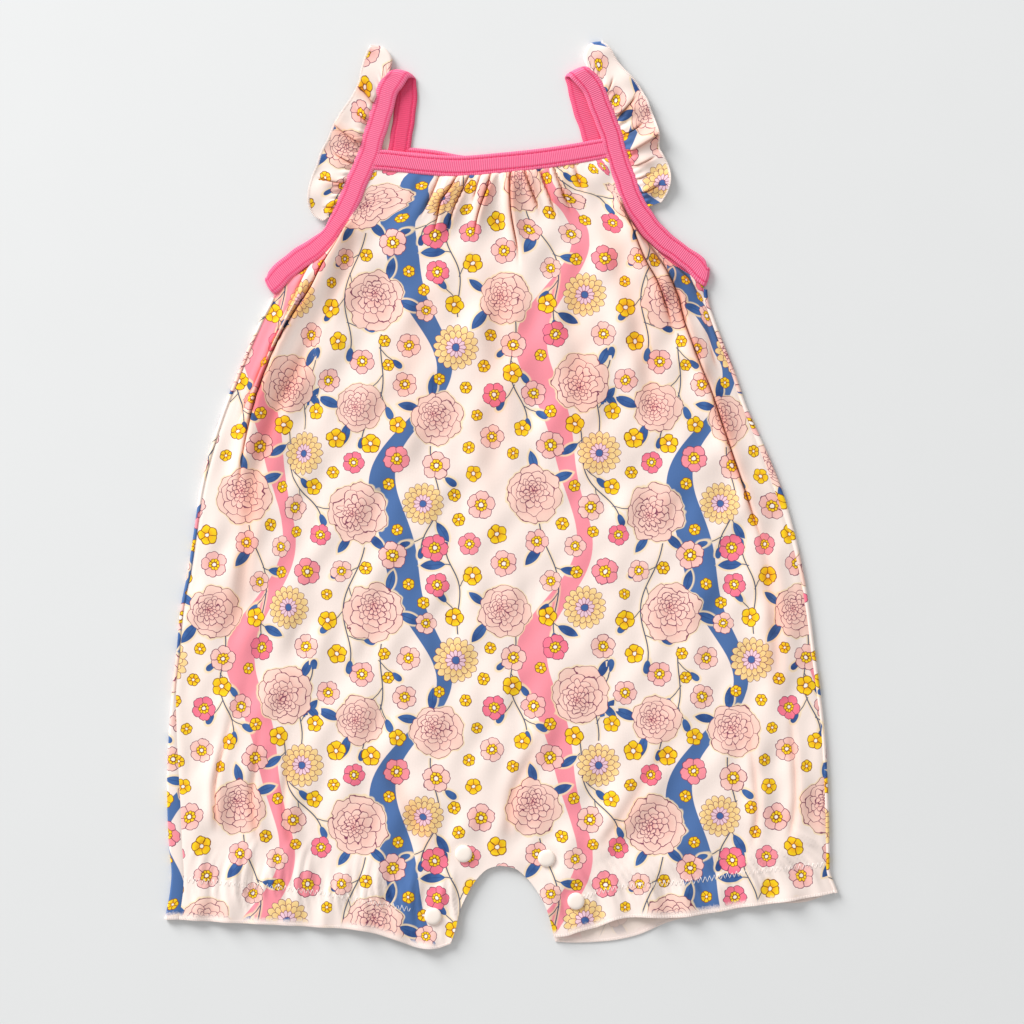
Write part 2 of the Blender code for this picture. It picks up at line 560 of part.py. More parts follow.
def back_blocks():
    """Wall points of the back panel, whose side edges turn up and over to the side seams."""
    flange_top = FRONT_LEVEL + JERSEY
    plans = panel_plan("back", lambda side, y: BACK_INSET)
    blocks = []
    for block, with_sides in zip(plans, ((-1, 1), (-1,), (1,))):
        level = np.zeros(block.shape[:2] + (1,))
        inner = np.dstack([block, level + JERSEY])
        outer = np.dstack([block, level])
        for side in with_sides:
            edge = block[:, 0 if side < 0 else -1]
            rim = {"outer": [], "inner": []}
            for y in edge[:, 1]:
                x = side_point(side, y)[0]
                seam = seam_inset(side, y)
                rim["outer"].append([
                    (x - side * seam, y, flange_top),
                    (x - side * SIDE_BEND, y, flange_top),
                    (x, y, flange_top / 2),
                    (x - side * SIDE_BEND, y, 0.0),
                ])
                rim["inner"].append([
                    (x - side * seam, y, FRONT_LEVEL),
                    (x - side * (JERSEY + SIDE_BEND / 2), y, FRONT_LEVEL),
                    (x - side * JERSEY, y, flange_top / 2),
                    (x - side * (JERSEY + SIDE_BEND / 2), y, JERSEY),
                ])
            rim_outer, rim_inner = np.array(rim["outer"]), np.array(rim["inner"])
            if side < 0:
                outer, inner = np.hstack([rim_outer, outer]), np.hstack([rim_inner, inner])
            else:
                outer = np.hstack([outer, rim_outer[:, ::-1]])
                inner = np.hstack([inner, rim_inner[:, ::-1]])
        blocks.append((inner, outer))
    return blocks


# Solids

def grid_of(columns, rows):
    """A level grid whose vertices carry their column and row."""
    bm = bmesh.new()
    bmesh.ops.create_grid(bm, x_segments=columns, y_segments=rows, size=1.0)
    column = bm.verts.layers.int.new("column")
    row = bm.verts.layers.int.new("row")
    for vert in bm.verts:
        vert[column] = round((vert.co.x + 1) / 2 * columns)
        vert[row] = round((1 - vert.co.y) / 2 * rows)
    return bm, column, row


def cut_between_legs(bm, column, row, middle, split_row):
    """Parts the grid along its middle column below the crotch; returns the layer that tells the legs."""
    leg = bm.verts.layers.int.new("leg")
    seam = [e for e in bm.edges if all(v[column] == middle and v[row] >= split_row for v in e.verts)]
    bmesh.ops.split_edges(bm, edges=seam)
    for vert in bm.verts:
        if vert[row] > split_row:
            faces = [f.calc_center_median().x for f in vert.link_faces]
            vert[leg] = 1 if sum(faces) / len(faces) > 0 else -1
    return leg


def thicken(bm, mark):
    """Doubles a sheet into a wall: the copied vertices carry 1 in the layer `mark`."""
    before = set(bm.verts)
    bmesh.ops.extrude_face_region(bm, geom=list(bm.faces), use_keep_orig=True)
    for vert in bm.verts:
        vert[mark] = 0 if vert in before else 1


def finish(bm, name, colour, roughness):
    bmesh.ops.recalc_face_normals(bm, faces=bm.faces)
    if bm.calc_volume(signed=True) < 0:
        bmesh.ops.reverse_faces(bm, faces=bm.faces)
    mesh = bpy.data.meshes.new(name)
    bm.to_mesh(mesh)
    bm.free()
    mesh.shade_smooth()
    mesh.set_sharp_from_angle(angle=SHARP_ANGLE)
    material = bpy.data.materials.get(name) or bpy.data.materials.new(name)
    material.use_nodes = True
    shader = material.node_tree.nodes["Principled BSDF"]
    shader.inputs["Base Color"].default_value = (*colour, 1.0)
    shader.inputs["Roughness"].default_value = roughness
    shader.inputs["Metallic"].default_value = 0.0
    mesh.materials.append(material)
    obj = bpy.data.objects.new(name, mesh)
    bpy.context.scene.collection.objects.link(obj)
    return obj


def panel_solid(name, blocks, colour):
    trunk, left_leg, right_leg = blocks
    columns, rows = trunk[0].shape[1] - 1, trunk[0].shape[0] - 1 + LEG_ROWS
    bm, column, row = grid_of(columns, rows)
    leg = cut_between_legs(bm, column, row, columns // 2, TRUNK_ROWS)
    wall = bm.verts.layers.int.new("wall")
    thicken(bm, wall)
    for vert in bm.verts:
        i, j, face = vert[column], vert[row], vert[wall]
        if j <= TRUNK_ROWS:
            place = trunk[face][j, i]
        elif vert[leg] < 0:
            place = left_leg[face][j - TRUNK_ROWS, i]
        else:
            place = right_leg[face][j - TRUNK_ROWS, i - columns // 2]
        vert.co = place * MM
    return finish(bm, name, colour, CLOTH_ROUGHNESS)


def sheet_solid(name, inner, outer, colour):
    rows, columns = inner.shape[0] - 1, inner.shape[1] - 1
    bm, column, row = grid_of(columns, rows)
    wall = bm.verts.layers.int.new("wall")
    thicken(bm, wall)
    for vert in bm.verts:
        vert.co = (outer if vert[wall] else inner)[vert[row], vert[column]] * MM
    return finish(bm, name, colour, CLOTH_ROUGHNESS)


def strap(side, name):
    ring, tangents, across = strap_sections(side)
    normals = np.cross(tangents, across)
    normals /= np.linalg.norm(normals, axis=1)[:, None]
    half, wall = STRAP_WIDTH / 2, RIB / 2
    section = [(-half, 0), (BINDING_EDGE - half, wall), (half - BINDING_EDGE, wall), (half, 0),
               (half - BINDING_EDGE, -wall), (BINDING_EDGE - half, -wall)]
    bm, column, row = grid_of(len(section), len(ring))
    for vert in bm.verts:
        width, height = section[vert[column] % len(section)]
        k = vert[row] % len(ring)
        vert.co = (ring[k] + across[k] * width + normals[k] * height) * MM
    bmesh.ops.remove_doubles(bm, verts=bm.verts, dist=1e-7)
    return finish(bm, name, RIB_PINK, CLOTH_ROUGHNESS)


def neck_binding(name, layer, level):
    """A binding whose ends stop short of the straps."""
    half = NECK_BINDING_WIDTH / 2
    lines = []
    edges = {s: strap_edge(s, layer, STRAP_WIDTH / 2 + ARMHOLE_GAP)[:, :2] for s in (-1, 1)}
    for across in (-half, BINDING_EDGE - half, half - BINDING_EDGE, half):
        line = neck_edge(layer, across)
        ends = [crossing(edges[s], line)[1] for s in (-1, 1)]
        xs = np.linspace(ends[0] + NECK_CORNER, ends[1] - NECK_CORNER, NECK_BINDING_CELLS + 1)
        lines.append(np.stack([xs, np.interp(xs, line[:, 0], line[:, 1])], axis=1))
    plan = np.stack(lines)
    rise = np.array([BINDING_EDGE_DROP, 0.0, 0.0, BINDING_EDGE_DROP])[:, None] * RIB
    inner = np.dstack([plan, np.broadcast_to(level + rise, plan.shape[:2])])
    outer = np.dstack([plan, np.broadcast_to(level + RIB - rise, plan.shape[:2])])
    return sheet_solid(name, inner, outer, RIB_PINK)


def ruffle(side, name):
    """A gathered strip: waved on the front, folded over the shoulder, flat behind."""
    across = np.linspace(0, 1, RUFFLE_CELLS + 1)
    half = -(STRAP_WIDTH / 2 + RUFFLE_GAP)
    front_edge = strap_edge(side, "front", half)
    front_edge = front_edge[front_edge[:, 1] > RUFFLE_FRONT_END[side]]
    back_edge = strap_edge(side, "back", half)[::-1]
    back_edge = back_edge[back_edge[:, 1] > RUFFLE_BACK_END[side]]
    shares = np.linspace(0, 1, RUFFLE_FRONT_ROWS + 1)
    inner_line = spaced(front_edge, shares)
    outer_line = spaced(smooth_curve(RUFFLE_FRONT[side]), shares)
    lie = FRONT_LEVEL + JERSEY / 2
    waves = sum(w.height * bell(shares, w.place, w.width) for w in RUFFLE_WAVES[side])
    below = JERSEY / 2
    fold_line = spaced(smooth_curve([inner_line[-1, :2], *RUFFLE_FOLD[side]]), across)
    tangents = np.gradient(fold_line, axis=0)
    tangents /= np.linalg.norm(tangents, axis=1)[:, None]
    away = np.stack([tangents[:, 1], -tangents[:, 0]], axis=1) * -side
    near_strap = (1 - across[:, None]) ** 2
    away = near_strap * outward_of(SHOULDER_FOLD[side], side) + (1 - near_strap) * away
    away /= np.linalg.norm(away, axis=1)[:, None]
    top_height = inner_line[-1, 2] * (1 - across) + lie * across + waves[-1] * across**RUFFLE_RISE
    radius = (top_height - below) / 2
    fold_line = fold_line - away * (radius * across)[:, None]
    rows = []
    for k, share in enumerate(shares):
        blend = share**RUFFLE_BLEND_POWER if share > RUFFLE_BLEND_FROM else 0.0
        line = inner_line[k, :2] + (outer_line[k] - inner_line[k, :2]) * across[:, None]
        line = (1 - blend) * line + blend * fold_line
        height = inner_line[k, 2] * (1 - across) + lie * across + waves[k] * across**RUFFLE_RISE
        rows.append(np.column_stack([line, height]))
    top = rows[-1]
    for angle in np.pi * np.arange(1, RUFFLE_FOLD_ROWS + 1) / RUFFLE_FOLD_ROWS:
        plan = top[:, :2] + away * radius[:, None] * math.sin(angle)
        rows.append(np.column_stack([plan, below + radius * (1 + math.cos(angle))]))
    back_shares = np.linspace(0, 1, RUFFLE_BACK_ROWS + 1)[1:]
    back_inner = spaced(back_edge, back_shares)
    back_outer = spaced(smooth_curve(RUFFLE_BACK[side]), back_shares)
    for k in range(RUFFLE_BACK_ROWS):
        line = back_inner[k, :2] + (back_outer[k] - back_inner[k, :2]) * across[:, None]
        rows.append(np.column_stack([line, np.full(len(across), below)]))
    middle = np.stack(rows)
    normals = np.cross(np.gradient(middle, axis=0), np.gradient(middle, axis=1))
    normals /= np.linalg.norm(normals, axis=-1)[..., None]
    normals *= np.sign(normals[0, 0, 2])
    walls = middle - normals * JERSEY / 2, middle + normals * JERSEY / 2
    for wall in walls:
        wall[..., 2] = np.maximum(wall[..., 2], 0.0)
    return sheet_solid(name, *walls, PRINT_GROUND)


def snap(number, place):
    """A domed cap on the front panel."""
    base = FRONT_LEVEL + JERSEY + SEAM_GAP
    bm = bmesh.new()
    verts = [bm.verts.new((rim.radius * SNAP_RADIUS * MM, 0, rim.height * SNAP_HEIGHT * MM)) for rim in SNAP_RIM]
    edges = [bm.edges.new(pair) for pair in zip(verts, verts[1:])]
    bmesh.ops.spin(bm, geom=verts + edges, cent=(0, 0, 0), axis=(0, 0, 1), angle=2 * math.pi,
                   steps=SNAP_SIDES, use_merge=True)
    bmesh.ops.remove_doubles(bm, verts=bm.verts, dist=1e-6)
    obj = finish(bm, f"snap_{number}", SNAP_CREAM, SNAP_ROUGHNESS)
    obj.location = (place[0] * MM, place[1] * MM, base * MM)
    return obj


def clear_scene():
    for obj in list(bpy.data.objects):
        bpy.data.objects.remove(obj, do_unlink=True)


def build():
    clear_scene()
    panel_solid("front_panel", front_blocks(), PRINT_GROUND)
    panel_solid("back_panel", back_blocks(), BACK_GROUND)
    neck_binding("neck_binding_front", "front", FRONT_LEVEL)
    neck_binding("neck_binding_back", "back", 0.0)
    for side, word in ((-1, "left"), (1, "right")):
        strap(side, f"strap_{word}")
        ruffle(side, f"ruffle_{word}")
    for number, place in enumerate(SNAPS, 1):
        snap(number, place)


build()
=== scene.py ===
import math

import bmesh
import bpy
import numpy as np
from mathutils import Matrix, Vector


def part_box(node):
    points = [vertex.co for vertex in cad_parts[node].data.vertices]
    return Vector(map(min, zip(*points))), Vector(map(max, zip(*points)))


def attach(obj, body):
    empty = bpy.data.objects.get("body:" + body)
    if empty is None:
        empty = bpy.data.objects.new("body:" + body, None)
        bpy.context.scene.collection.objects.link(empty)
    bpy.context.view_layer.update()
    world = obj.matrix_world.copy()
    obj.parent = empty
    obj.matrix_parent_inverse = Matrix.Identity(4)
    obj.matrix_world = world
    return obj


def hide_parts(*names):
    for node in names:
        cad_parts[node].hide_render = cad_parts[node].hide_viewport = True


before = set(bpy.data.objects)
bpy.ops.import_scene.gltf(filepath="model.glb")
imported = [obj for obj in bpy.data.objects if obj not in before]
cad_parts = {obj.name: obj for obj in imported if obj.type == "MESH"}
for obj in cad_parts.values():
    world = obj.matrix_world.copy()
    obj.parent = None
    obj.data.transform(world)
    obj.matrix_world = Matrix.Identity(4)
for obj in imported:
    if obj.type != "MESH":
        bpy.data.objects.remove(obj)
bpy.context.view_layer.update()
print("frame loaded:", ", ".join(sorted(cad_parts)))

mm = 0.001  # tables below are in millimetres, x to the right, y towards the shoulders, z up
sideNames = {-1: "Left", 1: "Right"}
nodeEnds = {-1: "left", 1: "right"}
farAway, farBeside = 999.0, 60.0


# Curves and small helpers

def lengthsAlong(points):
    steps = np.linalg.norm(np.diff(points, axis=0), axis=1)
    return np.concatenate([[0.0], np.cumsum(steps)])


def smoothCurve(points, closed=False, step=1.0):
    # a smooth curve through the points, sampled at most `step` apart
    knots = np.array(points, float)
    if closed:
        knots = np.vstack([knots[-1:], knots, knots[:2]])
    place = lengthsAlong(knots)
    slopes = np.gradient(knots, place, axis=0)
    first, last = (1, len(knots) - 2) if closed else (0, len(knots) - 1)
    found = []
    for k in range(first, last):
        span = place[k + 1] - place[k]
        t = np.arange(max(1, math.ceil(span / step)))[:, None]
        t = t / len(t)
        found.append(
            (1 + 2 * t) * (1 - t) ** 2 * knots[k]
            + t * (1 - t) ** 2 * span * slopes[k]
            + t * t * (3 - 2 * t) * knots[k + 1]
            + t * t * (t - 1) * span * slopes[k + 1]
        )
    if not closed:
        found.append(knots[-1:])
    return np.vstack(found)


def spacedAlong(curve, shares):
    place = lengthsAlong(curve)
    wanted = np.asarray(shares) * place[-1]
    return np.stack([np.interp(wanted, place, curve[:, k]) for k in range(curve.shape[1])], axis=1)


def evenly(points, cells):
    return spacedAlong(smoothCurve(points), np.linspace(0, 1, cells + 1))


def bell(values, middle, width):
    return np.exp(-(((values - middle) / width) ** 2))


def easeStep(values, low, high):
    t = np.clip((values - low) / (high - low), 0, 1)
    return t * t * (3 - 2 * t)


def unit(vectors):
    return vectors / (np.linalg.norm(vectors, axis=-1)[..., None] + 1e-12)


# Outline of the body

bodyCut = {
    # y, left outline, right outline, left seam inside it, right seam inside it
    "sides": (
        (114, -124.5, 113.4, 2.2, 2.2), (108, -126.6, 113.8, 2.2, 2.2), (96, -132.7, 117.6, 2.2, 2.2),
        (69, -144.2, 128.0, 2.2, 2.2), (47, -153.0, 135.7, 2.2, 2.4), (25, -160.2, 145.6, 2.2, 3.4),
        (3, -165.7, 154.4, 2.2, 4.2), (-19, -169.0, 161.0, 2.2, 3.2), (-41, -172.3, 166.0, 2.2, 2.6),
        (-63, -176.6, 169.8, 2.2, 2.4), (-85, -178.6, 172.6, 2.2, 2.4), (-107, -181.1, 175.5, 2.4, 2.4),
        (-129, -182.8, 178.0, 4.4, 2.2), (-151, -183.8, 179.4, 6.4, 2.2), (-173, -183.8, 180.3, 7.6, 2.2),
        (-195, -182.7, 180.8, 7.4, 2.2), (-208, -181.5, 181.2, 7.0, 2.2), (-219, -182.4, 185.2, 7.4, 2.2),
        (-234, -185.3, 186.0, 8.0, 2.2),
    ),
    "underarmY": {-1: 108.2, 1: 112.9},
    "crotchY": {-1: -183.0, 1: -178.0},  # where the row through the crotch meets the sides
    "hemY": {-1: -233.6, 1: -219.0},
    "archTop": (-0.9, -203.9),
    "arch": {  # from its top down to each leg
        -1: ((-7.3, -205.8), (-13.6, -211.6), (-18.8, -220.1), (-23.0, -229.5), (-25.1, -238.8)),
        1: ((7.5, -205.5), (13.8, -210.6), (19.0, -216.8), (24.3, -226.2), (27.0, -234.8)),
    },
    "hemCorner": {-1: (-27.8, -246.9), 1: (29.0, -243.4)},
    "crotchDip": 19.0,
    "crotchWidth": 16.0,
    "hems": {
        "front": {
            -1: ((-150, -235.2), (-106.3, -237.5), (-72.2, -240.5), (-56.2, -245.4), (-47.0, -248.8),
                 (-35.0, -249.4)),
            1: ((36.0, -242.6), (43.0, -240.2), (53.2, -237.7), (63.1, -233.6), (76.3, -232.2),
                (92.0, -232.8), (113.2, -230.3), (133.0, -226.8), (152.8, -224.2), (168.0, -221.8)),
        },
        "back": {
            -1: ((-150, -233.6), (-106.3, -235.6), (-72.2, -238.4), (-56.2, -242.6), (-36.0, -246.0)),
            1: ((35.0, -246.4), (49.4, -246.3), (65.3, -244.7), (75.8, -242.1), (91.7, -235.3),
                (113.2, -230.8), (133.0, -227.3), (152.8, -224.9), (167.1, -224.2)),
        },
    },
    "cornerClear": 5.0,  # an armhole edge starts this far from the corner under the arm
    "backArchEase": 1.2,  # how much further out the back goes at the arch, and where its right corner lies
    "backCornerDrop": (0.8, -2.6),
}
sideTable = np.array(bodyCut["sides"])[::-1]
sideCurves = {-1: smoothCurve(sideTable[:, [0, 1, 3]]), 1: smoothCurve(sideTable[:, [0, 2, 4]])}


def sidePoint(side, y, inset=0.0):
    curve = sideCurves[side]
    x = np.interp(y, curve[:, 0], curve[:, 1]) - side * inset
    return np.stack(np.broadcast_arrays(x, y), axis=-1)


def seamInset(side, y):
    curve = sideCurves[side]
    return np.interp(y, curve[:, 0], curve[:, 2])


# Straps: a closed ring from the underarm up the front, over the shoulder and down the back

strapCut = {
    "width": 12.0,
    "wall": 1.6,
    "front": {
        -1: ((-127.1, 115.6, 3.1), (-120.6, 122.3, 2.8), (-111.5, 129.3, 2.7), (-101.6, 136.9, 2.7),
             (-93.2, 146.2, 2.7), (-86.3, 156.9, 2.7), (-80.9, 168.0, 2.7), (-76.6, 178.5, 2.7),
             (-72.9, 187.3, 2.75), (-68.9, 200.5, 2.9), (-64.6, 215.0, 3.4), (-60.6, 226.0, 4.1),
             (-57.0, 231.4, 4.4)),
        1: ((112.7, 120.5, 3.1), (106.0, 127.6, 2.8), (98.0, 133.6, 2.7), (88.1, 141.4, 2.7),
            (79.4, 150.9, 2.7), (73.0, 161.0, 2.7), (68.8, 170.9, 2.7), (65.3, 181.2, 2.7),
            (62.2, 191.8, 2.75), (59.3, 201.2, 2.9), (56.1, 210.0, 3.3), (52.6, 218.4, 3.7),
            (48.6, 226.4, 4.1), (43.5, 231.9, 4.4)),
    },
    "back": {
        -1: ((-52.6, 230.6, 0.8), (-52.0, 221.5, 0.8), (-53.7, 207.4, 0.8), (-56.0, 190.7, 0.8),
             (-59.0, 179.0, 0.8), (-64.5, 167.0, 0.8), (-73.0, 154.5, 0.8), (-84.5, 142.0, 0.8),
             (-98.5, 129.6, 0.8), (-112.5, 120.6, 0.8), (-126.6, 114.9, 0.8)),
        1: ((40.5, 231.5, 0.8), (44.0, 217.9, 0.8), (48.4, 203.9, 0.8), (52.2, 190.7, 0.8),
            (55.2, 180.0, 0.8), (59.8, 168.5, 0.8), (67.0, 156.5, 0.8), (77.0, 144.5, 0.8),
            (89.0, 133.6, 0.8), (101.0, 125.8, 0.8), (112.4, 120.0, 0.8)),
    },
    "shoulderFold": {-1: (0.974, -0.226), 1: (-0.90, -0.43)},
    "underarmFold": {-1: (0.44, -0.90), 1: (-0.20, -0.98)},
    "turnSteps": 6,
    "levelLead": 1.2,  # a run stays level this far from the fold, where it still lies square to it by a share
    "leadShare": 0.9,
    "step": 0.26,  # between cross sections, and between those that only give its edges
    "roughStep": 2.0,
    "edgePoints": 400,
    # where edges draw in: place, reach, movement, and the edge: 1 towards the neck, -1 the other, 0 both
    "draws": {
        -1: ((-57.0, 231.4, 7.0, -0.5, -2.2, 0), (-127.1, 115.6, 7.0, 1.4, 0.7, 1),
             (-127.1, 115.6, 6.0, 0.2, 0.3, -1), (-128.0, 115.2, 2.4, 0.7, -1.5, -1),
             (-94.0, 144.5, 9.5, 2.0, -1.7, -1)),
        1: ((43.5, 231.9, 6.0, 0.4, -0.7, 0), (112.7, 120.5, 7.0, -0.6, 0.3, 1),
            (112.7, 120.5, 5.0, -0.1, 0.5, -1), (113.6, 120.3, 2.4, -0.5, -1.7, -1),
            (98.0, 133.6, 10.0, -0.8, -1.0, -1), (82.0, 147.5, 10.0, -0.6, -0.4, 0)),
    },
    "drawPowers": (2.5, 1.6),  # how closely a movement keeps to both edges or to one
    "innerBelow": 2.2,  # under this height the strap shows its wrong side
    "wrongSideAndShade": {-1: 1.4, 1: 0.7},  # how strong the colour of the wrong side is: partly its own darker pink, partly painted shade, more on the left for the shadow inside its loop
    "sway": ((0.2, 11), (0.12, 23)),  # sideways, and waves round the ring
}


def turnOver(start, end, outward):
    # round the fold from one layer to the other
    start, end = np.array(start), np.array(end)
    radius = abs(end[2] - start[2]) / 2
    angles = np.pi * np.arange(1, strapCut["turnSteps"]) / strapCut["turnSteps"]
    middle, along = (start + end) / 2, (end - start) / 2
    out = np.array([outward[0], outward[1], 0.0])
    return [np.append(middle - along * math.cos(a) + out * radius * math.sin(a), 1.0) for a in angles]


def levelEnds(points):
    # the points of one run and how much each lies square to a fold
    points = np.array(points, float)

    def level(end, inner):
        step = inner - end
        step[2] = 0.0
        return end + step * strapCut["levelLead"] / np.linalg.norm(step)

    stations = [points[0], level(points[0], points[1]), *points[1:-1], level(points[-1], points[-2]),
                points[-1]]
    shares = [1.0, strapCut["leadShare"], *np.zeros(len(points) - 2), strapCut["leadShare"], 1.0]
    return [np.append(station, share) for station, share in zip(stations, shares)]


def outwardOf(fold, side):
    line = np.array(fold) / np.linalg.norm(fold)
    return np.array([line[1], -line[0]]) * side


def strapSections(side, step):
    # the ring's stations, its tangents and the level unit vector across it towards the neck
    front, back = strapCut["front"][side], strapCut["back"][side]
    shoulder = turnOver(front[-1], back[0], outwardOf(strapCut["shoulderFold"][side], side))
    underarm = turnOver(back[-1], front[0], -outwardOf(strapCut["underarmFold"][side], side))
    ring = smoothCurve([*levelEnds(front), *shoulder, *levelEnds(back), *underarm], closed=True, step=step)
    share = np.clip(ring[:, 3:], 0, 1)
    ring = ring[:, :3]
    tangents = unit(np.roll(ring, -1, axis=0) - np.roll(ring, 1, axis=0))
    high = ring[:, 1:2] > (front[0][1] + front[-1][1]) / 2
    folds = np.where(high, strapCut["shoulderFold"][side], strapCut["underarmFold"][side])
    square = np.stack([tangents[:, 1], -tangents[:, 0]], axis=1)
    square *= np.sign((square * folds).sum(axis=1))[:, None]
    level = (1 - share) * unit(square) + share * folds
    across = np.hstack([unit(level), np.zeros((len(ring), 1))])
    return ring, tangents, across


def strapEdge(side, layer, offset):
    # a line beside the strap's centre, from the underarm up
    ring, _, across = strapSections(side, strapCut["roughStep"])
    points = np.array(strapCut[layer][side])
    first, last = (np.linalg.norm(ring - end, axis=1).argmin() for end in (points[0], points[-1]))
    edge = (ring + across * offset)[first:last + 1]
    return spacedAlong(edge if layer == "front" else edge[::-1], np.linspace(0, 1, strapCut["edgePoints"]))


neckCut = {
    "width": 11.4,
    "front": ((-78, 184.8), (-64, 184.0), (-44.2, 181.8), (-22.5, 180.7), (-1.6, 182.3), (23.5, 185.0),
              (56.5, 190.4), (70, 193.0)),
    "back": ((-66, 186.2), (-52, 185.6), (-38, 184.2), (-20, 181.0), (0, 180.8), (25, 183.2),
             (46, 187.0), (60, 190.0)),
    "level": {"front": 2.7, "back": 0.8},  # height of the middle of each binding
    "intoStrap": 1.2,  # how far its ends run into the straps
    "endClear": 0.2,
}


def neckLine(layer, across):
    return smoothCurve(neckCut[layer]) + np.array([0.0, across])


def crossing(strapLine, line):
    heights = np.interp(strapLine[:, 0], line[:, 0], line[:, 1])
    over = np.nonzero(strapLine[:, 1] >= heights)[0][0]
    return over, strapLine[over, 0]


# Front and back panels: how the flat shapes are divided

frontPanel = {
    "wall": 0.6,
    "level": 2.6,  # height of the middle of the cloth where it lies flat
    "armholeCells": 52,
    "neckCells": 136,
    "trunkRows": 146,
    "legRows": 40,
    "rowCrowding": 1.3,
    "neckCrowding": 0.050,
    "underBinding": 1.7,
    "bindingDip": (0.36, 1.6, 6.0),  # how far the cloth goes down under a binding, and from where to where
    "seamLap": 0.25,  # how far the side edges reach over the seam
    "seamDip": 0.55,
    "seamDipWidth": 0.9,
    "lowest": -0.8,  # how far down the folds may go
    "printOffset": (12.0, 30.0),
}
backPanel = {
    "wall": 0.7,
    "level": 0.4,
    "armholeCells": 22,
    "neckCells": 40,
    "trunkRows": 90,
    "legRows": 24,
    "rowCrowding": 1.2,
    "neckCrowding": 0.0,
    "underBinding": 1.7,
    "gridInset": 3.0,  # where the flat part ends and the cloth starts to turn up
    "turnCells": 10,
    "lapRows": (0.35, 0.7, 0.88, 1.0),  # rows from the fold to the seam on the front
    "printOffset": (95.0, 64.0),
}


def topCurves(layer, panel, cornerInset):
    # left armhole, neck and right armhole edges, from left to right
    neck = neckLine(layer, -neckCut["width"] / 2 + panel["underBinding"])
    armholes, ends = {}, {}
    for side in (-1, 1):
        edge = strapEdge(side, layer, strapCut["width"] / 2 - panel["underBinding"])[:, :2]
        stop, ends[side] = crossing(edge, neck)
        corner = sidePoint(side, bodyCut["underarmY"][side], cornerInset(side, bodyCut["underarmY"][side]))
        start = np.nonzero(np.linalg.norm(edge - corner, axis=1) > bodyCut["cornerClear"])[0]
        start = start[start < stop]
        armholes[side] = np.vstack([corner, edge[start[0]:stop]])
    clear = neckCut["endClear"]
    inside = neck[(neck[:, 0] > ends[-1] + clear) & (neck[:, 0] < ends[1] - clear)]
    return armholes[-1], inside, armholes[1][::-1]


def patchBetween(top, bottom, left, right, shares):
    # a patch between four curves; top and bottom run to the right, left and right run down
    u = np.linspace(0, 1, len(top))[None, :, None]
    v = np.asarray(shares)[:, None, None]
    ruled = (1 - v) * top[None] + v * bottom[None] + (1 - u) * left[:, None] + u * right[:, None]
    corners = (1 - v) * ((1 - u) * top[0] + u * top[-1]) + v * ((1 - u) * bottom[0] + u * bottom[-1])
    return ruled - corners


def panelPlan(layer, panel, inset):
    # plan points, row by row from the neck to the hem; the middle column is doubled, and below the
    # crotch its two halves part into the legs
    cut, cells, neckCells = bodyCut, panel["armholeCells"], panel["neckCells"]
    half = cells + neckCells // 2
    even, shares = np.linspace(0, 1, cells + 1), np.linspace(0, 1, neckCells + 1)
    shares = shares + panel["neckCrowding"] * np.sin(2 * np.pi * shares)
    curves = zip(topCurves(layer, panel, inset), (even, shares, even))
    left, neck, right = (spacedAlong(curve, at) for curve, at in curves)
    top = np.vstack([left[:-1], neck, right[1:]])
    trunkShares = np.linspace(0, 1, panel["trunkRows"] + 1) ** panel["rowCrowding"]
    legShares = np.linspace(0, 1, panel["legRows"] + 1)

    def sideRows(start, end, rowShares):
        rows = {}
        for side in (-1, 1):
            ys = cut[start][side] + (cut[end][side] - cut[start][side]) * rowShares
            rows[side] = sidePoint(side, ys, inset(side, ys))
        return rows

    sides, legs = sideRows("underarmY", "crotchY", trunkShares), sideRows("crotchY", "hemY", legShares)
    ease = 0.0 if layer == "front" else cut["backArchEase"]
    archTop = np.array(cut["archTop"]) + (0, ease)
    bottom = []
    for side, away in ((-1, np.linspace(1, 0, half + 1)), (1, np.linspace(0, 1, half + 1)[1:])):
        outer = sides[side][-1]
        x = archTop[0] + (outer[0] - archTop[0]) * away
        dip = cut["crotchDip"] * (1 - np.exp(-np.abs(x - archTop[0]) / cut["crotchWidth"]))
        y = archTop[1] + dip + (outer[1] - archTop[1] - cut["crotchDip"]) * away
        bottom.append(np.stack([x, y], axis=1))
    trunk = patchBetween(top, np.vstack(bottom), sides[-1], sides[1], trunkShares)

    def arch(side, corner):
        eased = [(x + math.copysign(ease, x), y + ease / 2) for x, y in cut["arch"][side]]
        return evenly([archTop, *eased, corner], panel["legRows"])

    corners = {s: np.array(cut["hemCorner"][s]) for s in (-1, 1)}
    corners[-1] = corners[-1] + (-ease, 1.5 * ease)
    if layer == "back":
        corners[1] = corners[1] + cut["backCornerDrop"]
    hems = cut["hems"][layer]
    leftLeg = patchBetween(trunk[-1, :half + 1], evenly([legs[-1][-1], *hems[-1], corners[-1]], half),
                           legs[-1], arch(-1, corners[-1]), legShares)
    rightLeg = patchBetween(trunk[-1, half:], evenly([corners[1], *hems[1], legs[1][-1]], half),
                            arch(1, corners[1]), legs[1], legShares)
    return np.vstack([
        np.hstack([trunk[:, :half + 1], trunk[:, half:]]),
        np.hstack([leftLeg[1:], rightLeg[1:]]),
    ])


def lengthsOf(points, axis):
    # how far each point of a grid lies along its column (axis 0) or its row (axis 1)
    steps = np.cumsum(np.linalg.norm(np.diff(points, axis=axis), axis=-1), axis=axis)
    return np.insert(steps, 0, 0.0, axis=axis)


def downLength(points):
    return lengthsOf(points, 0)


def acrossLength(points):
    return lengthsOf(points, 1)


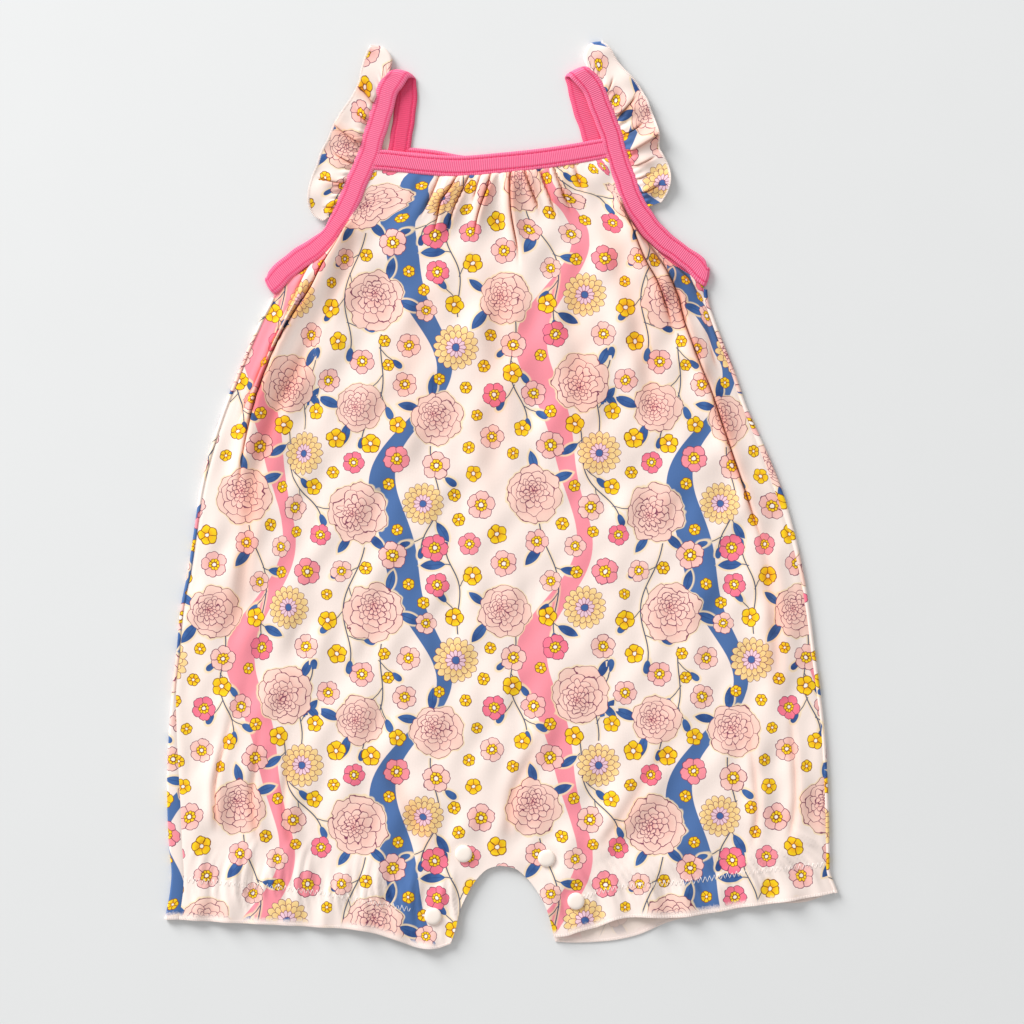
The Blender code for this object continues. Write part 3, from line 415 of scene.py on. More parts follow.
def hemPlaces(grid, split, fromArch=False):
    # height above the hem and place along it; above the legs, far away
    above, alongHem = np.full(grid.shape[:2], farAway), np.zeros(grid.shape[:2])
    half = grid.shape[1] // 2
    for side, part in ((-1, slice(0, half)), (1, slice(half, None))):
        leg = grid[split:, part]
        run = acrossLength(leg)
        above[split:, part] = downLength(leg[::-1])[::-1]
        alongHem[split:, part] = run[:, -1:] - run if fromArch and side < 0 else run
    return above, alongHem


# Creases of the front. Each is a narrow crease between two soft ridges, darkened with painted shade: its
# course from the seam down, the height and width of the ridge to its right and of the one to its left, how
# far the right one leans over it, how wide the crease is, and over what length it starts and dies away

neckCreases = (
    (((-44, 176), (-49, 162), (-54, 148)), 0.8, 4.5, 0.7, 4.5, 0.0, 2.0, 2, 14),
    (((-33, 178), (-39, 163), (-46, 150)), 1.6, 3.6, 1.3, 4.0, 0.35, 1.0, 2, 15),
    (((-22.5, 179), (-28, 168), (-32.6, 161), (-35, 152), (-39, 138)), 3.6, 3.8, 2.9, 3.8, 1.1, 1.0, 2, 24),
    (((-16, 179), (-21.5, 166), (-25, 159), (-28, 151), (-31, 141)), 2.7, 3.0, 2.2, 2.4, 0.8, 0.7, 2, 18),
    (((-10.5, 179), (-13.5, 168), (-17, 157)), 1.8, 2.4, 1.6, 2.4, 0.45, 0.7, 2, 12),
    (((-5, 180), (-7.5, 168), (-10, 161), (-13, 152), (-15, 138)), 3.4, 3.2, 3.0, 4.0, 1.0, 0.95, 2, 24),
    (((5.4, 180), (5.2, 168), (5.6, 158), (7, 148), (9, 136), (10, 122)), 3.9, 3.6, 3.4, 3.6, 1.1, 1.0, 2,
     34),
    (((12.0, 181), (15.5, 171), (19, 162), (22, 151)), 2.6, 2.8, 2.2, 2.4, 0.75, 0.7, 2, 18),
    (((20, 182), (24, 171), (28, 160), (31, 149)), 2.2, 3.4, 1.8, 2.8, 0.5, 0.8, 2, 16),
    (((27.5, 183), (31.5, 173), (35, 164), (40, 152)), 2.0, 3.6, 1.7, 3.0, 0.6, 0.8, 2, 16),
    (((39, 184), (43, 173), (47, 161)), 1.1, 4.2, 1.0, 3.6, 0.2, 1.2, 2, 14),
)
bodyCreases = (
    (((-84, 150), (-90, 139), (-98, 126), (-104, 114), (-113, 100), (-121, 85.5), (-129, 67), (-136, 47),
      (-141, 26), (-144.5, 4), (-147, -16)), 4.2, 6.5, 3.0, 5.0, 1.3, 1.1, 4, 80),
    (((-106, 126), (-116, 104), (-127, 80), (-139, 54), (-150, 28)), 2.2, 4.0, 1.8, 3.5, 0.7, 0.8, 6, 40),
    (((-100, 96), (-111, 70), (-124, 44), (-133, 18), (-139, -20), (-144, -60), (-148, -98)), 1.7, 11.0, 1.5,
     8.0, 0.0, 4.0, 26, 60),
    (((-80, 152), (-84, 130), (-92, 108), (-98, 84)), 1.3, 8.0, 1.2, 6.0, 0.0, 3.5, 8, 34),
    (((66, 160), (71.4, 149), (80.2, 128), (86.2, 117.6), (90.1, 106.6), (92.8, 97), (95.5, 84)), 3.3, 3.6,
     2.8, 4.5, 1.1, 1.0, 4, 34),
    (((73, 150), (79.1, 141), (91.7, 123), (97.2, 111), (101.1, 96), (109.3, 73.6), (116.5, 55.4),
      (123.6, 34.5), (133.5, 5.4), (138.5, -10.6), (145.6, -31.5), (150, -44)), 4.2, 6.0, 3.0, 4.5, 1.3, 1.1,
     4, 74),
    (((86, 140), (95, 128), (104, 118), (110, 108), (116.5, 96), (119, 86)), 3.0, 3.2, 2.4, 2.8, 1.0, 0.9, 4,
     22),
    (((111, 99), (114.3, 87), (116, 78), (119, 66)), 1.6, 3.0, 1.3, 2.6, 0.6, 0.7, 6, 14),
    (((146, -30), (150, -66), (152.5, -118)), 1.9, 9.0, 1.5, 8.0, 0.0, 3.5, 24, 34),
    (((58, 150), (70, 112), (80, 66), (86, 20)), 1.4, 10.0, 1.2, 9.0, 0.0, 5.0, 14, 60),
    (((-3, 122), (-2, 80), (-6, 30), (-8, -20)), 1.1, 12.0, 1.0, 12.0, 0.0, 7.0, 30, 70),
    (((-40, 120), (-52, 60), (-62, 0)), 0.9, 13.0, 0.9, 13.0, 0.0, 7.0, 30, 60),
    (((40, 118), (44, 60), (50, -10)), 0.9, 13.0, 0.9, 13.0, 0.0, 7.0, 30, 60),
    (((-150, -130), (-157, -160), (-156, -188)), 2.6, 5.0, 2.0, 4.0, 0.8, 1.6, 26, 16),
    (((-134, -140), (-137, -168), (-132, -196)), 1.9, 5.0, 1.6, 5.0, 0.3, 1.8, 24, 18),
    (((-118, -150), (-119, -176), (-112, -200)), 1.6, 5.0, 1.4, 5.0, 0.0, 2.0, 24, 18),
    (((-66, -146), (-50, -174), (-35, -204)), 1.3, 7.0, 1.2, 7.0, 0.0, 3.0, 24, 18),
    (((20, -136), (7, -164), (3, -192)), 1.4, 5.0, 1.2, 6.0, 0.0, 3.0, 24, 12),
    (((88, -146), (67, -176), (51, -200)), 1.3, 7.0, 1.2, 7.0, 0.0, 3.0, 24, 18),
    (((138, -140), (141, -172), (138, -198)), 1.8, 5.0, 1.4, 5.0, 0.3, 1.8, 24, 18),
    (((160, -130), (162, -166), (158, -196)), 1.8, 5.0, 1.5, 5.0, 0.3, 1.8, 24, 18),
)
creaseShape = {
    "ridgeAt": 1.4,  # each ridge's crest lies this many crease widths from the crease
    "deepen": (0.7, 0.8),  # how far a sharp crease goes down below the cloth, over this many crease widths
    "crowding": 0.72,  # the grid's lines draw closer together at a sharp crease
    "crowdingReach": 9.0,
    "sharp": 1.5,  # creases narrower than this are sharp
    "seamHold": 0.55,
    "seamReach": 6.0,
    "shadeWidth": 1.1,  # how wide the painted dark line of a sharp crease is, in crease widths, and its softer painted shade
    "shadeHazeWidth": 3.4,
    "softWidth": 1.6,  # and how wide the painted shade of a soft one
    "shadeHaze": 0.3,
    "darkest": 5.0,  # ridges as high as this together make the crease's painted shade fully dark
    "bindingLift": (0.25, 1.3, 1.5),  # highest lift under a binding, its growth beyond, and from where
    "courseStep": 2.0,
    # the cloth that a crease takes up is measured out to its ridges' feet, this many ridge widths and a
    # little more away, at so many places and for so many strengths of the crease
    "footWidths": 3.2,
    "footRoom": 6,
    "samples": 401,
    "levels": 7,
}


def besideCrease(plan, crease):
    # signed distance from a crease's course, the unit vector to its right, how much of the crease is there,
    # and the same without its start
    course = smoothCurve(crease[0], step=creaseShape["courseStep"])
    place = lengthsAlong(course)
    tangents = unit(np.gradient(course, axis=0))
    flat = plan.reshape(-1, 2)
    nearest = ((flat[:, None] - course[None]) ** 2).sum(axis=-1).argmin(axis=-1)
    off, along = flat - course[nearest], tangents[nearest]
    beside = off[:, 0] * -along[:, 1] + off[:, 1] * along[:, 0]
    spot = place[nearest] + (off * along).sum(axis=-1)
    ending = 1 - easeStep(spot, place[-1] - crease[8], place[-1])
    fade = easeStep(spot, -crease[7], crease[7]) * ending
    right = np.stack([-along[:, 1], along[:, 0]], axis=-1)
    shape = plan.shape[:-1]
    return beside.reshape(shape), right.reshape(*shape, 2), fade.reshape(shape), ending.reshape(shape)


def creaseSection(beside, fade, crease):
    # how far the cloth moves sideways and up at this distance from a crease
    right, rightWidth, left, leftWidth, lean, width = crease[1:7]
    crest = creaseShape["ridgeAt"] * width
    rightRidge = right * np.where(beside < crest, bell(beside, crest, width), bell(beside, crest, rightWidth))
    leftRidge = left * np.where(beside > -crest, bell(beside, -crest, width), bell(beside, -crest, leftWidth))
    aside = -lean * rightRidge / right
    depth, share = creaseShape["deepen"]
    deepen = depth * bell(beside, 0, width * share) if width < creaseShape["sharp"] else 0.0
    return aside * fade, (rightRidge + leftRidge - deepen) * fade


def creaseShade(beside, fade, crease):
    # painted shade down in a crease: a dark line in a sharp one, and a soft painted shade in any
    shape = creaseShape
    depth = min(1.0, (crease[1] + crease[3]) / shape["darkest"])
    if crease[6] >= shape["sharp"]:
        return shape["shadeHaze"] * depth * fade * bell(beside, 0.0, crease[6] * shape["softWidth"])
    line = bell(beside, 0.0, shape["shadeWidth"] * crease[6])
    shadeHaze = shape["shadeHaze"] * bell(beside, 0.0, shape["shadeHazeWidth"] * crease[6])
    return depth * np.maximum(line, shadeHaze) * fade


def clothTaken(beside, fade, crease):
    # length of cloth that the crease takes up between its left foot and this point
    shape = creaseShape
    reach = shape["footWidths"] * (crease[2] + crease[4]) / 2 + shape["footRoom"]
    places = np.linspace(-reach, reach, shape["samples"])
    levels = np.linspace(0, 1, shape["levels"])
    spot = np.clip(fade, 0, 1) * (len(levels) - 1)
    found = np.zeros(beside.shape)
    for k, level in enumerate(levels):
        aside, lift = creaseSection(places, level, crease)
        run = np.concatenate([[0], np.cumsum(np.hypot(np.diff(places + aside), np.diff(lift)))])
        found += np.interp(beside, places, run - (places - places[0])) * np.clip(1 - np.abs(spot - k), 0, 1)
    return found


def creasedPlan(plan, creases, hold):
    # plan points moved by leaning ridges, the height of the ridges, where the flat cloth was, and the painted
    # shade of the creases
    crowded = plan.copy()
    for crease in creases:
        if crease[6] < creaseShape["sharp"]:
            beside, normal, fade, _ = besideCrease(plan, crease)
            reach = min(creaseShape["crowdingReach"], crease[2] + crease[4])
            pull = creaseShape["crowding"] * beside * bell(beside, 0, reach)
            crowded -= normal * (pull * np.sqrt(fade * hold))[..., None]
    moved, flat = crowded.copy(), crowded.copy()
    lift, paintedShade = np.zeros((2, *plan.shape[:-1]))
    for crease in creases:
        beside, normal, fade, ending = besideCrease(crowded, crease)
        aside, up = creaseSection(beside, fade * hold, crease)
        lift += up
        paintedShade = np.maximum(paintedShade, creaseShade(beside, fade * np.sqrt(hold), crease))
        moved += normal * aside[..., None]
        taken = clothTaken(beside, ending, crease)
        if crease[0][0][0] < 0:  # cloth is taken up towards the middle of the front
            taken = taken - clothTaken(np.full_like(beside, farBeside), ending, crease)
        flat += normal * taken[..., None]
    return moved, lift, flat, paintedShade


legGathers = {
    "elasticAbove": 20.0,  # how far above the hem the elastic lies, and how much it flattens the waves
    "pinch": 0.6,
    "pinchWidth": 7.0,
    "waveReach": 44.0,
    # place across the leg, height, width, all along the hem
    "waves": {
        -1: ((0.06, 1.2, 0.030), (0.17, 1.6, 0.035), (0.28, 1.0, 0.030), (0.40, 1.6, 0.035),
             (0.52, 1.2, 0.030), (0.66, 1.8, 0.040), (0.80, 1.4, 0.035), (0.92, 1.0, 0.030)),
        1: ((0.10, 1.6, 0.035), (0.22, 1.2, 0.030), (0.35, 2.0, 0.040), (0.48, 1.2, 0.030),
            (0.60, 1.6, 0.035), (0.72, 1.2, 0.030), (0.84, 2.0, 0.040), (0.95, 1.0, 0.025)),
    },
    "puckerSpacing": (3.0, 6.0),
    "puckerHeight": (0.7, 1.9),
    "puckerWidth": (0.9, 1.5),
    "puckerUp": (7.0, 24.0),
    "puckerDown": (5.0, 15.0),
    "puckerLean": {-1: 0.42, 1: -0.08},
    "leanSpread": (0.5, 1.5),
    "start": 3.0,  # how far from the ends of a hem the puckers stay
    "join": 14.0,  # the gathers grow over this length below the crotch
    "seed": 11,
}


def legLift(side, above, along, share):
    # height of the waves along a hem and of the puckers across the elastic
    gather = legGathers
    pinch = 1 - gather["pinch"] * bell(above, gather["elasticAbove"], gather["pinchWidth"])
    reach = bell(above, 0.0, gather["waveReach"])
    lift = sum(h * bell(share, place, w) for place, h, w in gather["waves"][side]) * reach * pinch
    rng = np.random.default_rng(gather["seed"] + side)
    place = gather["start"]
    while place < along.max() - gather["start"]:
        height, width, up, down = (
            rng.uniform(*gather[key]) for key in ("puckerHeight", "puckerWidth", "puckerUp", "puckerDown")
        )
        climb = above - gather["elasticAbove"]
        lean = gather["puckerLean"][side] * rng.uniform(*gather["leanSpread"])
        run = np.where(climb > 0, bell(climb, 0, up), bell(climb, 0, down))
        lift = lift + height * bell(along - climb * lean, place, width) * run
        place += rng.uniform(*gather["puckerSpacing"])
    return lift


ripples = {"count": 22, "height": 0.16, "lengths": (16.0, 60.0), "spread": 0.55, "seed": 5}
puckers = {"pitch": 3.5, "height": 0.55, "from": -46.0, "to": 50.0, "fade": 16.0,
           "uneven": ((1.3, 0.31), (0.8, 0.83))}  # sways of the pitch: depth and rate


def seamPuckers(x, along):
    # small gathers right under the neck binding
    phase = 2 * np.pi * along / puckers["pitch"]
    for depth, rate in puckers["uneven"]:
        phase = phase + depth * np.sin(along * rate)
    start, stop, fade = puckers["from"], puckers["to"], puckers["fade"]
    return puckers["height"] * np.cos(phase) * easeStep(x, start, start + fade) * (
        1 - easeStep(x, stop - fade, stop))


def softRipples(plan):
    # faint unevenness of cloth that lies smoothed out
    rng = np.random.default_rng(ripples["seed"])
    lift = np.zeros(plan.shape[:-1])
    for _ in range(ripples["count"]):
        angle = rng.normal(0.0, ripples["spread"])
        wave = 2 * np.pi / rng.uniform(*ripples["lengths"])
        phase = rng.uniform(0, 2 * np.pi)
        along = plan[..., 0] * math.cos(angle) + plan[..., 1] * math.sin(angle)
        lift += ripples["height"] * np.cos(along * wave + phase)
    return lift


snapClear = 9.0  # folds keep this clear of the snap caps
snapBoxes = [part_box(f"snap_{number}") for number in range(1, 5)]
snapCentres = [(low + high) / 2 for low, high in snapBoxes]


def snapFade(plan):
    away = np.ones(plan.shape[:-1])
    for centre in snapCentres:
        distance = np.linalg.norm(plan - np.array(centre[:2]) / mm, axis=-1)
        away *= 1 - np.exp(-((distance / snapClear) ** 4))
    return away


# Cloth meshes

def offsetNormals(middle, joinRow=None):
    # unit normals of the middle surface; the two halves are taken apart where a grid parts into legs
    def normalsOf(points):
        return unit(np.cross(np.gradient(points, axis=0), np.gradient(points, axis=1)))

    if joinRow is None:
        return normalsOf(middle)
    half = middle.shape[1] // 2
    normals = np.hstack([normalsOf(middle[:, :half]), normalsOf(middle[:, half:])])
    whole = normalsOf(np.hstack([middle[:joinRow + 1, :half], middle[:joinRow + 1, half + 1:]]))
    normals[:joinRow + 1, :half] = whole[:, :half]
    normals[:joinRow + 1, half:] = whole[:, half - 1:]
    return normals


def labelledGrid(columns, rows, *labels):
    # a flat grid whose vertices carry their column, their row and room for other numbers
    bm = bmesh.new()
    bmesh.ops.create_grid(bm, x_segments=columns, y_segments=rows, size=1.0)
    layers = [bm.verts.layers.int.new(label) for label in ("column", "row", *labels)]
    for vert in bm.verts:
        vert[layers[0]] = round((vert.co.x + 1) / 2 * columns)
        vert[layers[1]] = round((1 - vert.co.y) / 2 * rows)
    return bm, *layers


def gridSheet(name, lower, upper, joinRow=None):
    # a closed cloth of two walls from two point grids in millimetres, which parts below joinRow
    columns = lower.shape[1] - 1
    bm, column, row, wall = labelledGrid(columns, lower.shape[0] - 1, "wall")
    if joinRow is not None:
        middle = (columns - 1) // 2
        gap = [f for f in bm.faces if all(v[column] in (middle, middle + 1) for v in f.verts)]
        bmesh.ops.delete(bm, geom=gap, context="FACES")
        joined = [v for v in bm.verts if v[column] in (middle, middle + 1) and v[row] <= joinRow]
        for vert in joined:
            vert.co = upper[vert[row], vert[column]] * mm
        bmesh.ops.remove_doubles(bm, verts=joined, dist=1e-6)
    before = set(bm.verts)
    bmesh.ops.extrude_face_region(bm, geom=list(bm.faces), use_keep_orig=True)
    for vert in bm.verts:
        vert[wall] = 0 if vert in before else 1
        vert.co = (upper if vert[wall] else lower)[vert[row], vert[column]] * mm
    for face in bm.faces:
        if len({v[wall] for v in face.verts}) == 2:
            for edge in face.edges:
                edge.smooth = edge.verts[0][wall] != edge.verts[1][wall]
    bmesh.ops.recalc_face_normals(bm, faces=bm.faces)
    if bm.calc_volume(signed=True) < 0:
        bmesh.ops.reverse_faces(bm, faces=bm.faces)
    return meshObject(name, bm)


def meshObject(name, bm):
    for face in bm.faces:
        face.smooth = True
    mesh = bpy.data.meshes.new(name)
    bm.to_mesh(mesh)
    bm.free()
    obj = bpy.data.objects.new(name, mesh)
    bpy.context.scene.collection.objects.link(obj)
    return obj


def numbersOf(mesh, name):
    values = np.zeros(len(mesh.vertices), np.int32)
    mesh.attributes[name].data.foreach_get("value", values)
    return values


def cornerIndex(mesh):
    corners = np.zeros(len(mesh.loops), np.int32)
    mesh.loops.foreach_get("vertex_index", corners)
    return corners


def writeVectors(mesh, name, values):
    attribute = mesh.attributes.new(name, "FLOAT_VECTOR", "CORNER")
    attribute.data.foreach_set("vector", np.ascontiguousarray(values, np.float32).ravel())


def writeMap(mesh, places):
    layer = mesh.uv_layers.new(name="clothMap")
    layer.data.foreach_set("uv", np.ascontiguousarray(places, np.float32).ravel())


# The print: one repeat of an all-over flower design of its own, laid on the flat cloth

printDesign = {
    "repeat": (164.0, 172.0),
    # layered roses: x, y, radius, turn
    "roses": ((30, 30, 15.5, 0.3), (97, 20, 16.5, 1.9), (141, 72, 14.5, 0.8), (56, 92, 16.0, 2.6),
              (14, 138, 14.5, 1.2), (106, 137, 16.5, 0.0), (98, 78, 13.5, 1.4)),
    # sunburst flowers: x, y, radius, turn
    "sunbursts": ((66, 53, 12.0, 0.2), (151, 111, 12.5, 0.9), (58, 140, 12.0, 0.5), (133, 25, 11.5, 0.1)),
    "blossoms": {"count": 28, "radius": (5.8, 7.9)},
    "blossomTints": (0.0, 1.0, 0.15, 0.0, 0.75, 0.1, 0.0, 1.0, 0.0, 0.2),
    "bigButtons": {"count": 15, "radius": (4.4, 5.5)},
    "smallButtons": {"count": 24, "radius": (3.0, 3.6)},
    # wavy ribbons: x, sways (depth, waves in a repeat, phase), half width, its change and phase
    "ribbons": (
        (126.0, ((15.0, 1, 3.9), (5.0, 2, 1.0)), 6.6, 2.6, 1.5),
        (44.0, ((13.0, 1, 0.9), (4.0, 2, 2.1)), 6.4, 2.4, 4.0),
    ),
    # vines: start x, y, first heading in degrees, how it bends, length
    "vines": ((33, 14, -80, 26, 62), (101, 2, -100, -30, 66), (137, 56, -92, 34, 58),
              (54, 72, -70, -34, 60), (20, 124, -86, -30, 54), (110, 119, -98, 26, 60),
              (66, 66, 84, 30, 40), (152, 127, 96, -26, 46)),
    "firstTwig": (8, 13),  # its distance from the start, and the bare length at the vine's tip
    "bareTip": 4,
    "twigEvery": (11.0, 17.0),
    "twigAngle": (34, 58),
    "twigBend": 14,
    "leafy": 0.35,  # share of twigs that end in a leaf, the others end in a bud
    "leafStalk": 3.0,
    "twigLength": (6.0, 10.5),
    "budLength": (6.0, 7.6),
    "leafLength": (11.0, 14.0),
    # pointed leaves behind each rose: how many, their turn with the rose's, the angle between them, how
    # loosely they are set, how far under the rose, and how far they splay
    "roseLeaves": (2, 2.3, 0.9, 0.15, 3.0, 0.35),
    "clearance": 1.5,
    "over": 2.4,  # how far a blossom may reach over a big flower, and a button over anything
    "lap": 0.6,
    "tries": 260,  # spots tried for each motif, and room enough to stop
    "ample": 6.0,
    "seed": 23,
}
repeat = np.array(printDesign["repeat"])
lineStep = 0.5  # points of a vine or twig are this far apart, and cloth this near knows of it
lineReach = 5.0
noLine = 99.0  # the distance given where no line is near
lineEnd = 0.9  # how far a line is known beyond its last points


def wrapped(offsets):
    return (offsets + repeat / 2) % repeat - repeat / 2


def bentLine(x, y, heading, bend, length):
    # a line whose heading sways to one side and, more strongly, back
    s = np.arange(0, length, lineStep)
    turn = np.radians(heading + bend * np.sin(s / length * 2 * np.pi) * (0.4 + 0.6 * s / length))
    steps = np.stack([np.cos(turn), np.sin(turn)], axis=1) * lineStep
    return np.array([x, y]) + np.cumsum(steps, axis=0)


def scatter(rng, wanted, radii, kept, clearance):
    # places that keep clear of what is there already: kept is a list of (places, radii, allowed overlap)
    found, sizes = [], []

    def gap(spot, places, others, overlap):
        return (np.linalg.norm(wrapped(np.array(places) - spot), axis=1) - others + overlap).min()

    def roomAt(spot, size):
        room = min(gap(spot, *row) for row in kept) - size
        return min(room, gap(spot, found, np.array(sizes), 0.0) - size - clearance) if found else room

    for _ in range(wanted):
        best, bestRoom = None, -farAway
        size = rng.uniform(*radii)
        for spot in rng.uniform(0, 1, (printDesign["tries"], 2)) * repeat:
            room = roomAt(spot, size)
            if room > bestRoom:
                best, bestRoom = spot, room
            if room > printDesign["ample"]:
                break
        if bestRoom > 0:
            found.append(best)
            sizes.append(size)
    return np.array(found), np.array(sizes)


def drawPrint():
    # every motif of one repeat: big flowers, blossoms, buttons, leaves, vines and twigs
    design, rng = printDesign, np.random.default_rng(printDesign["seed"])
    leaves, vines, twigs = [], [], []

    def strewn(key, *kept):
        return scatter(rng, design[key]["count"], design[key]["radius"], kept, design["clearance"])

    def turned(places, sizes, kinds):
        # each motif turned its own way
        return np.column_stack([places, sizes, rng.uniform(0, 6, len(places)), kinds])

    def addLeaf(foot, key, angle):
        kind = 1.0 if key == "leafLength" else -1.0
        leaves.append((*foot, rng.uniform(*design[key]), angle, kind))

    big = np.array([(*row, 0.0) for row in design["roses"]] + [(*row, 1.0) for row in design["sunbursts"]])
    blossoms, blossomSizes = strewn("blossoms", (big[:, :2], big[:, 2], design["over"]))
    taken = ((big[:, :2], big[:, 2], design["lap"]), (blossoms, blossomSizes, design["lap"]))
    buttons, buttonSizes = strewn("bigButtons", *taken)
    smalls, smallSizes = strewn("smallButtons", *taken, (buttons, buttonSizes, -design["clearance"]))
    layers = {
        "bigFlowers": big,
        "blossoms": turned(blossoms, blossomSizes, np.resize(design["blossomTints"], len(blossoms))),
        "buttons": turned(np.vstack([buttons, smalls]), np.concatenate([buttonSizes, smallSizes]),
                          np.repeat([0.0, 1.0], [len(buttons), len(smalls)])),
    }
    for x, y, heading, bend, length in design["vines"]:
        vine = bentLine(x, y, heading, bend, length)
        vines.append(vine)
        s, hand = rng.uniform(*design["firstTwig"]), rng.choice([-1, 1])
        while s < length - design["bareTip"]:
            k = int(s / lineStep)
            ahead = vine[min(k + 3, len(vine) - 1)] - vine[max(k - 3, 0)]
            angle = math.degrees(math.atan2(ahead[1], ahead[0])) + hand * rng.uniform(*design["twigAngle"])
            leafy = rng.uniform() < design["leafy"]
            reach = design["leafStalk"] if leafy else rng.uniform(*design["twigLength"])
            twigs.append(bentLine(*vine[k], angle, -hand * design["twigBend"], reach))
            tip = twigs[-1][-1] - twigs[-1][-2]
            addLeaf(twigs[-1][-1], "leafLength" if leafy else "budLength", math.atan2(tip[1], tip[0]))
            hand = -hand
            s += rng.uniform(*design["twigEvery"])
        tip = vine[-1] - vine[-3]
        addLeaf(vine[-1], "budLength", math.atan2(tip[1], tip[0]))
    count, withRose, apart, loose, under, splay = design["roseLeaves"]
    for x, y, radius, turn in design["roses"]:
        for k in range(count):
            angle = turn * withRose + apart * k + rng.uniform(-loose, loose)
            foot = np.array([x, y]) + (radius - under) * np.array([math.cos(angle), math.sin(angle)])
            addLeaf(foot, "leafLength", angle + splay * (2 * k - 1))
    return {**layers, "leaves": np.array(leaves), "vines": vines, "twigs": twigs}


def placeMotifs(corners, middles, motifs, toBase=0.0):
    # local coordinates of each corner in the motif that lies nearest to its face
    best = np.full(len(middles), np.inf)
    centres = np.zeros_like(middles)
    which = np.zeros(len(middles), np.int32)
    for k, (x, y, radius, turn, _) in enumerate(motifs):
        heart = np.array([x, y]) + toBase * radius * np.array([math.cos(turn), math.sin(turn)])
        away = wrapped(middles - heart)
        reach = np.hypot(away[:, 0], away[:, 1]) / radius
        nearer = reach < best
        best[nearer], which[nearer] = reach[nearer], k
        centres[nearer] = (middles - away + np.array([x, y]) - heart)[nearer]
    turns, radii = motifs[which, 3], motifs[which, 2]
    off = corners - centres[:, None]
    c, s = np.cos(turns)[:, None], np.sin(turns)[:, None]
    local = np.stack([off[..., 0] * c + off[..., 1] * s, off[..., 1] * c - off[..., 0] * s], axis=-1)
    return local, radii, motifs[which, 4]


def placeLines(corners, middles, lines):
    # signed distance of each corner from the nearest line
    found = np.full(corners.shape[:2], noLine)
    best = np.full(len(middles), lineReach)
    for line in lines:
        heart = (line.min(axis=0) + line.max(axis=0)) / 2
        radius = np.linalg.norm(line - heart, axis=1).max()
        away = wrapped(middles - heart)
        near = np.nonzero(np.hypot(away[:, 0], away[:, 1]) < radius + lineReach + 1)[0]
        if not len(near):
            continue
        spots = heart + away[near]
        gaps = np.linalg.norm(spots[:, None] - line[None], axis=-1)
        index, gap = gaps.argmin(axis=1), gaps.min(axis=1)
        tangents = unit(np.gradient(line, axis=0))
        beyond = ((spots - line[index]) * tangents[index]).sum(axis=1)
        past = ((index == 0) & (beyond < -lineEnd)) | ((index == len(line) - 1) & (beyond > lineEnd))
        chosen = (gap < best[near]) & ~past
        near, spots, gap = near[chosen], spots[chosen], gap[chosen]
        best[near] = gap
        local = corners[near] - (middles[near] - spots)[:, None]
        index = np.linalg.norm(local[:, :, None] - line[None, None], axis=-1).argmin(axis=2)
        off, along = local - line[index], tangents[index]
        found[near] = off[..., 1] * along[..., 0] - off[..., 0] * along[..., 1]
    return found


def ribbonDistances(places):
    found = []
    for x, sways, halfWidth, change, phase in printDesign["ribbons"]:
        share = 2 * np.pi * places[..., 1] / repeat[1]
        middle = x + sum(depth * np.sin(waves * share + start) for depth, waves, start in sways)
        away = (places[..., 0] - middle + repeat[0] / 2) % repeat[0] - repeat[0] / 2
        found.append(np.abs(away) - halfWidth - change * np.sin(share + phase))
    return found


printLayers = drawPrint()
print("print drawn:", ", ".join(f"{len(layer)} {name}" for name, layer in printLayers.items()))
# for each kind of motif the radius it is scaled to (0: to its own), and how far its heart lies from its place
# towards its tip, in shares of its size
motifSizes = (("bigFlowers", 18.0, 0.0), ("blossoms", 8.0, 0.0), ("buttons", 5.0, 0.0), ("leaves", 0.0, 0.5))


def printedCloth(name, lower, upper, places, hem, alongHem, paintedShade, joinRow=None, rightSide=1):
    # a printed sheet from grids: its walls, its places on the flat cloth in mm, distance from a hem and
    # place along it, and the painted shade of the creases; rightSide is the wall that shows the print in full
    obj = gridSheet(name, lower, upper, joinRow)
    mesh = obj.data
    corner = cornerIndex(mesh)
    row, column, wall = (numbersOf(mesh, label)[corner] for label in ("row", "column", "wall"))
    wrong = np.abs(rightSide - wall)
    hem, alongHem, paintedShade = (grid[row, column] for grid in (hem, alongHem, paintedShade))
    writeMap(mesh, places[row, column])
    corners = places[row, column].reshape(-1, 4, 2)
    middles = corners.mean(axis=1)
    for layer, size, toBase in motifSizes:
        local, radii, kinds = placeMotifs(corners, middles, printLayers[layer], toBase)
        if size:
            local, last = local * (size / radii)[:, None, None], kinds
        else:
            local, last = local / radii[:, None, None], radii * kinds
        last = np.broadcast_to(last[:, None, None], (*local.shape[:2], 1))
        writeVectors(mesh, layer, np.concatenate([local, last], axis=-1).reshape(-1, 3))
    vine, twig = (placeLines(corners, middles, printLayers[key]).ravel() for key in ("vines", "twigs"))
    blue, coral = (distance.ravel() for distance in ribbonDistances(corners))
    for layer, columns in (("stemsAndShade", (vine, twig, paintedShade)), ("ribbons", (blue, coral, blue * 0)),
                           ("edge", (hem, alongHem, wrong))):
        writeVectors(mesh, layer, np.column_stack(columns))
    mesh.materials.append(jersey)
    print(f"{name}:", len(mesh.polygons), "faces")
    return obj


# Shader graphs

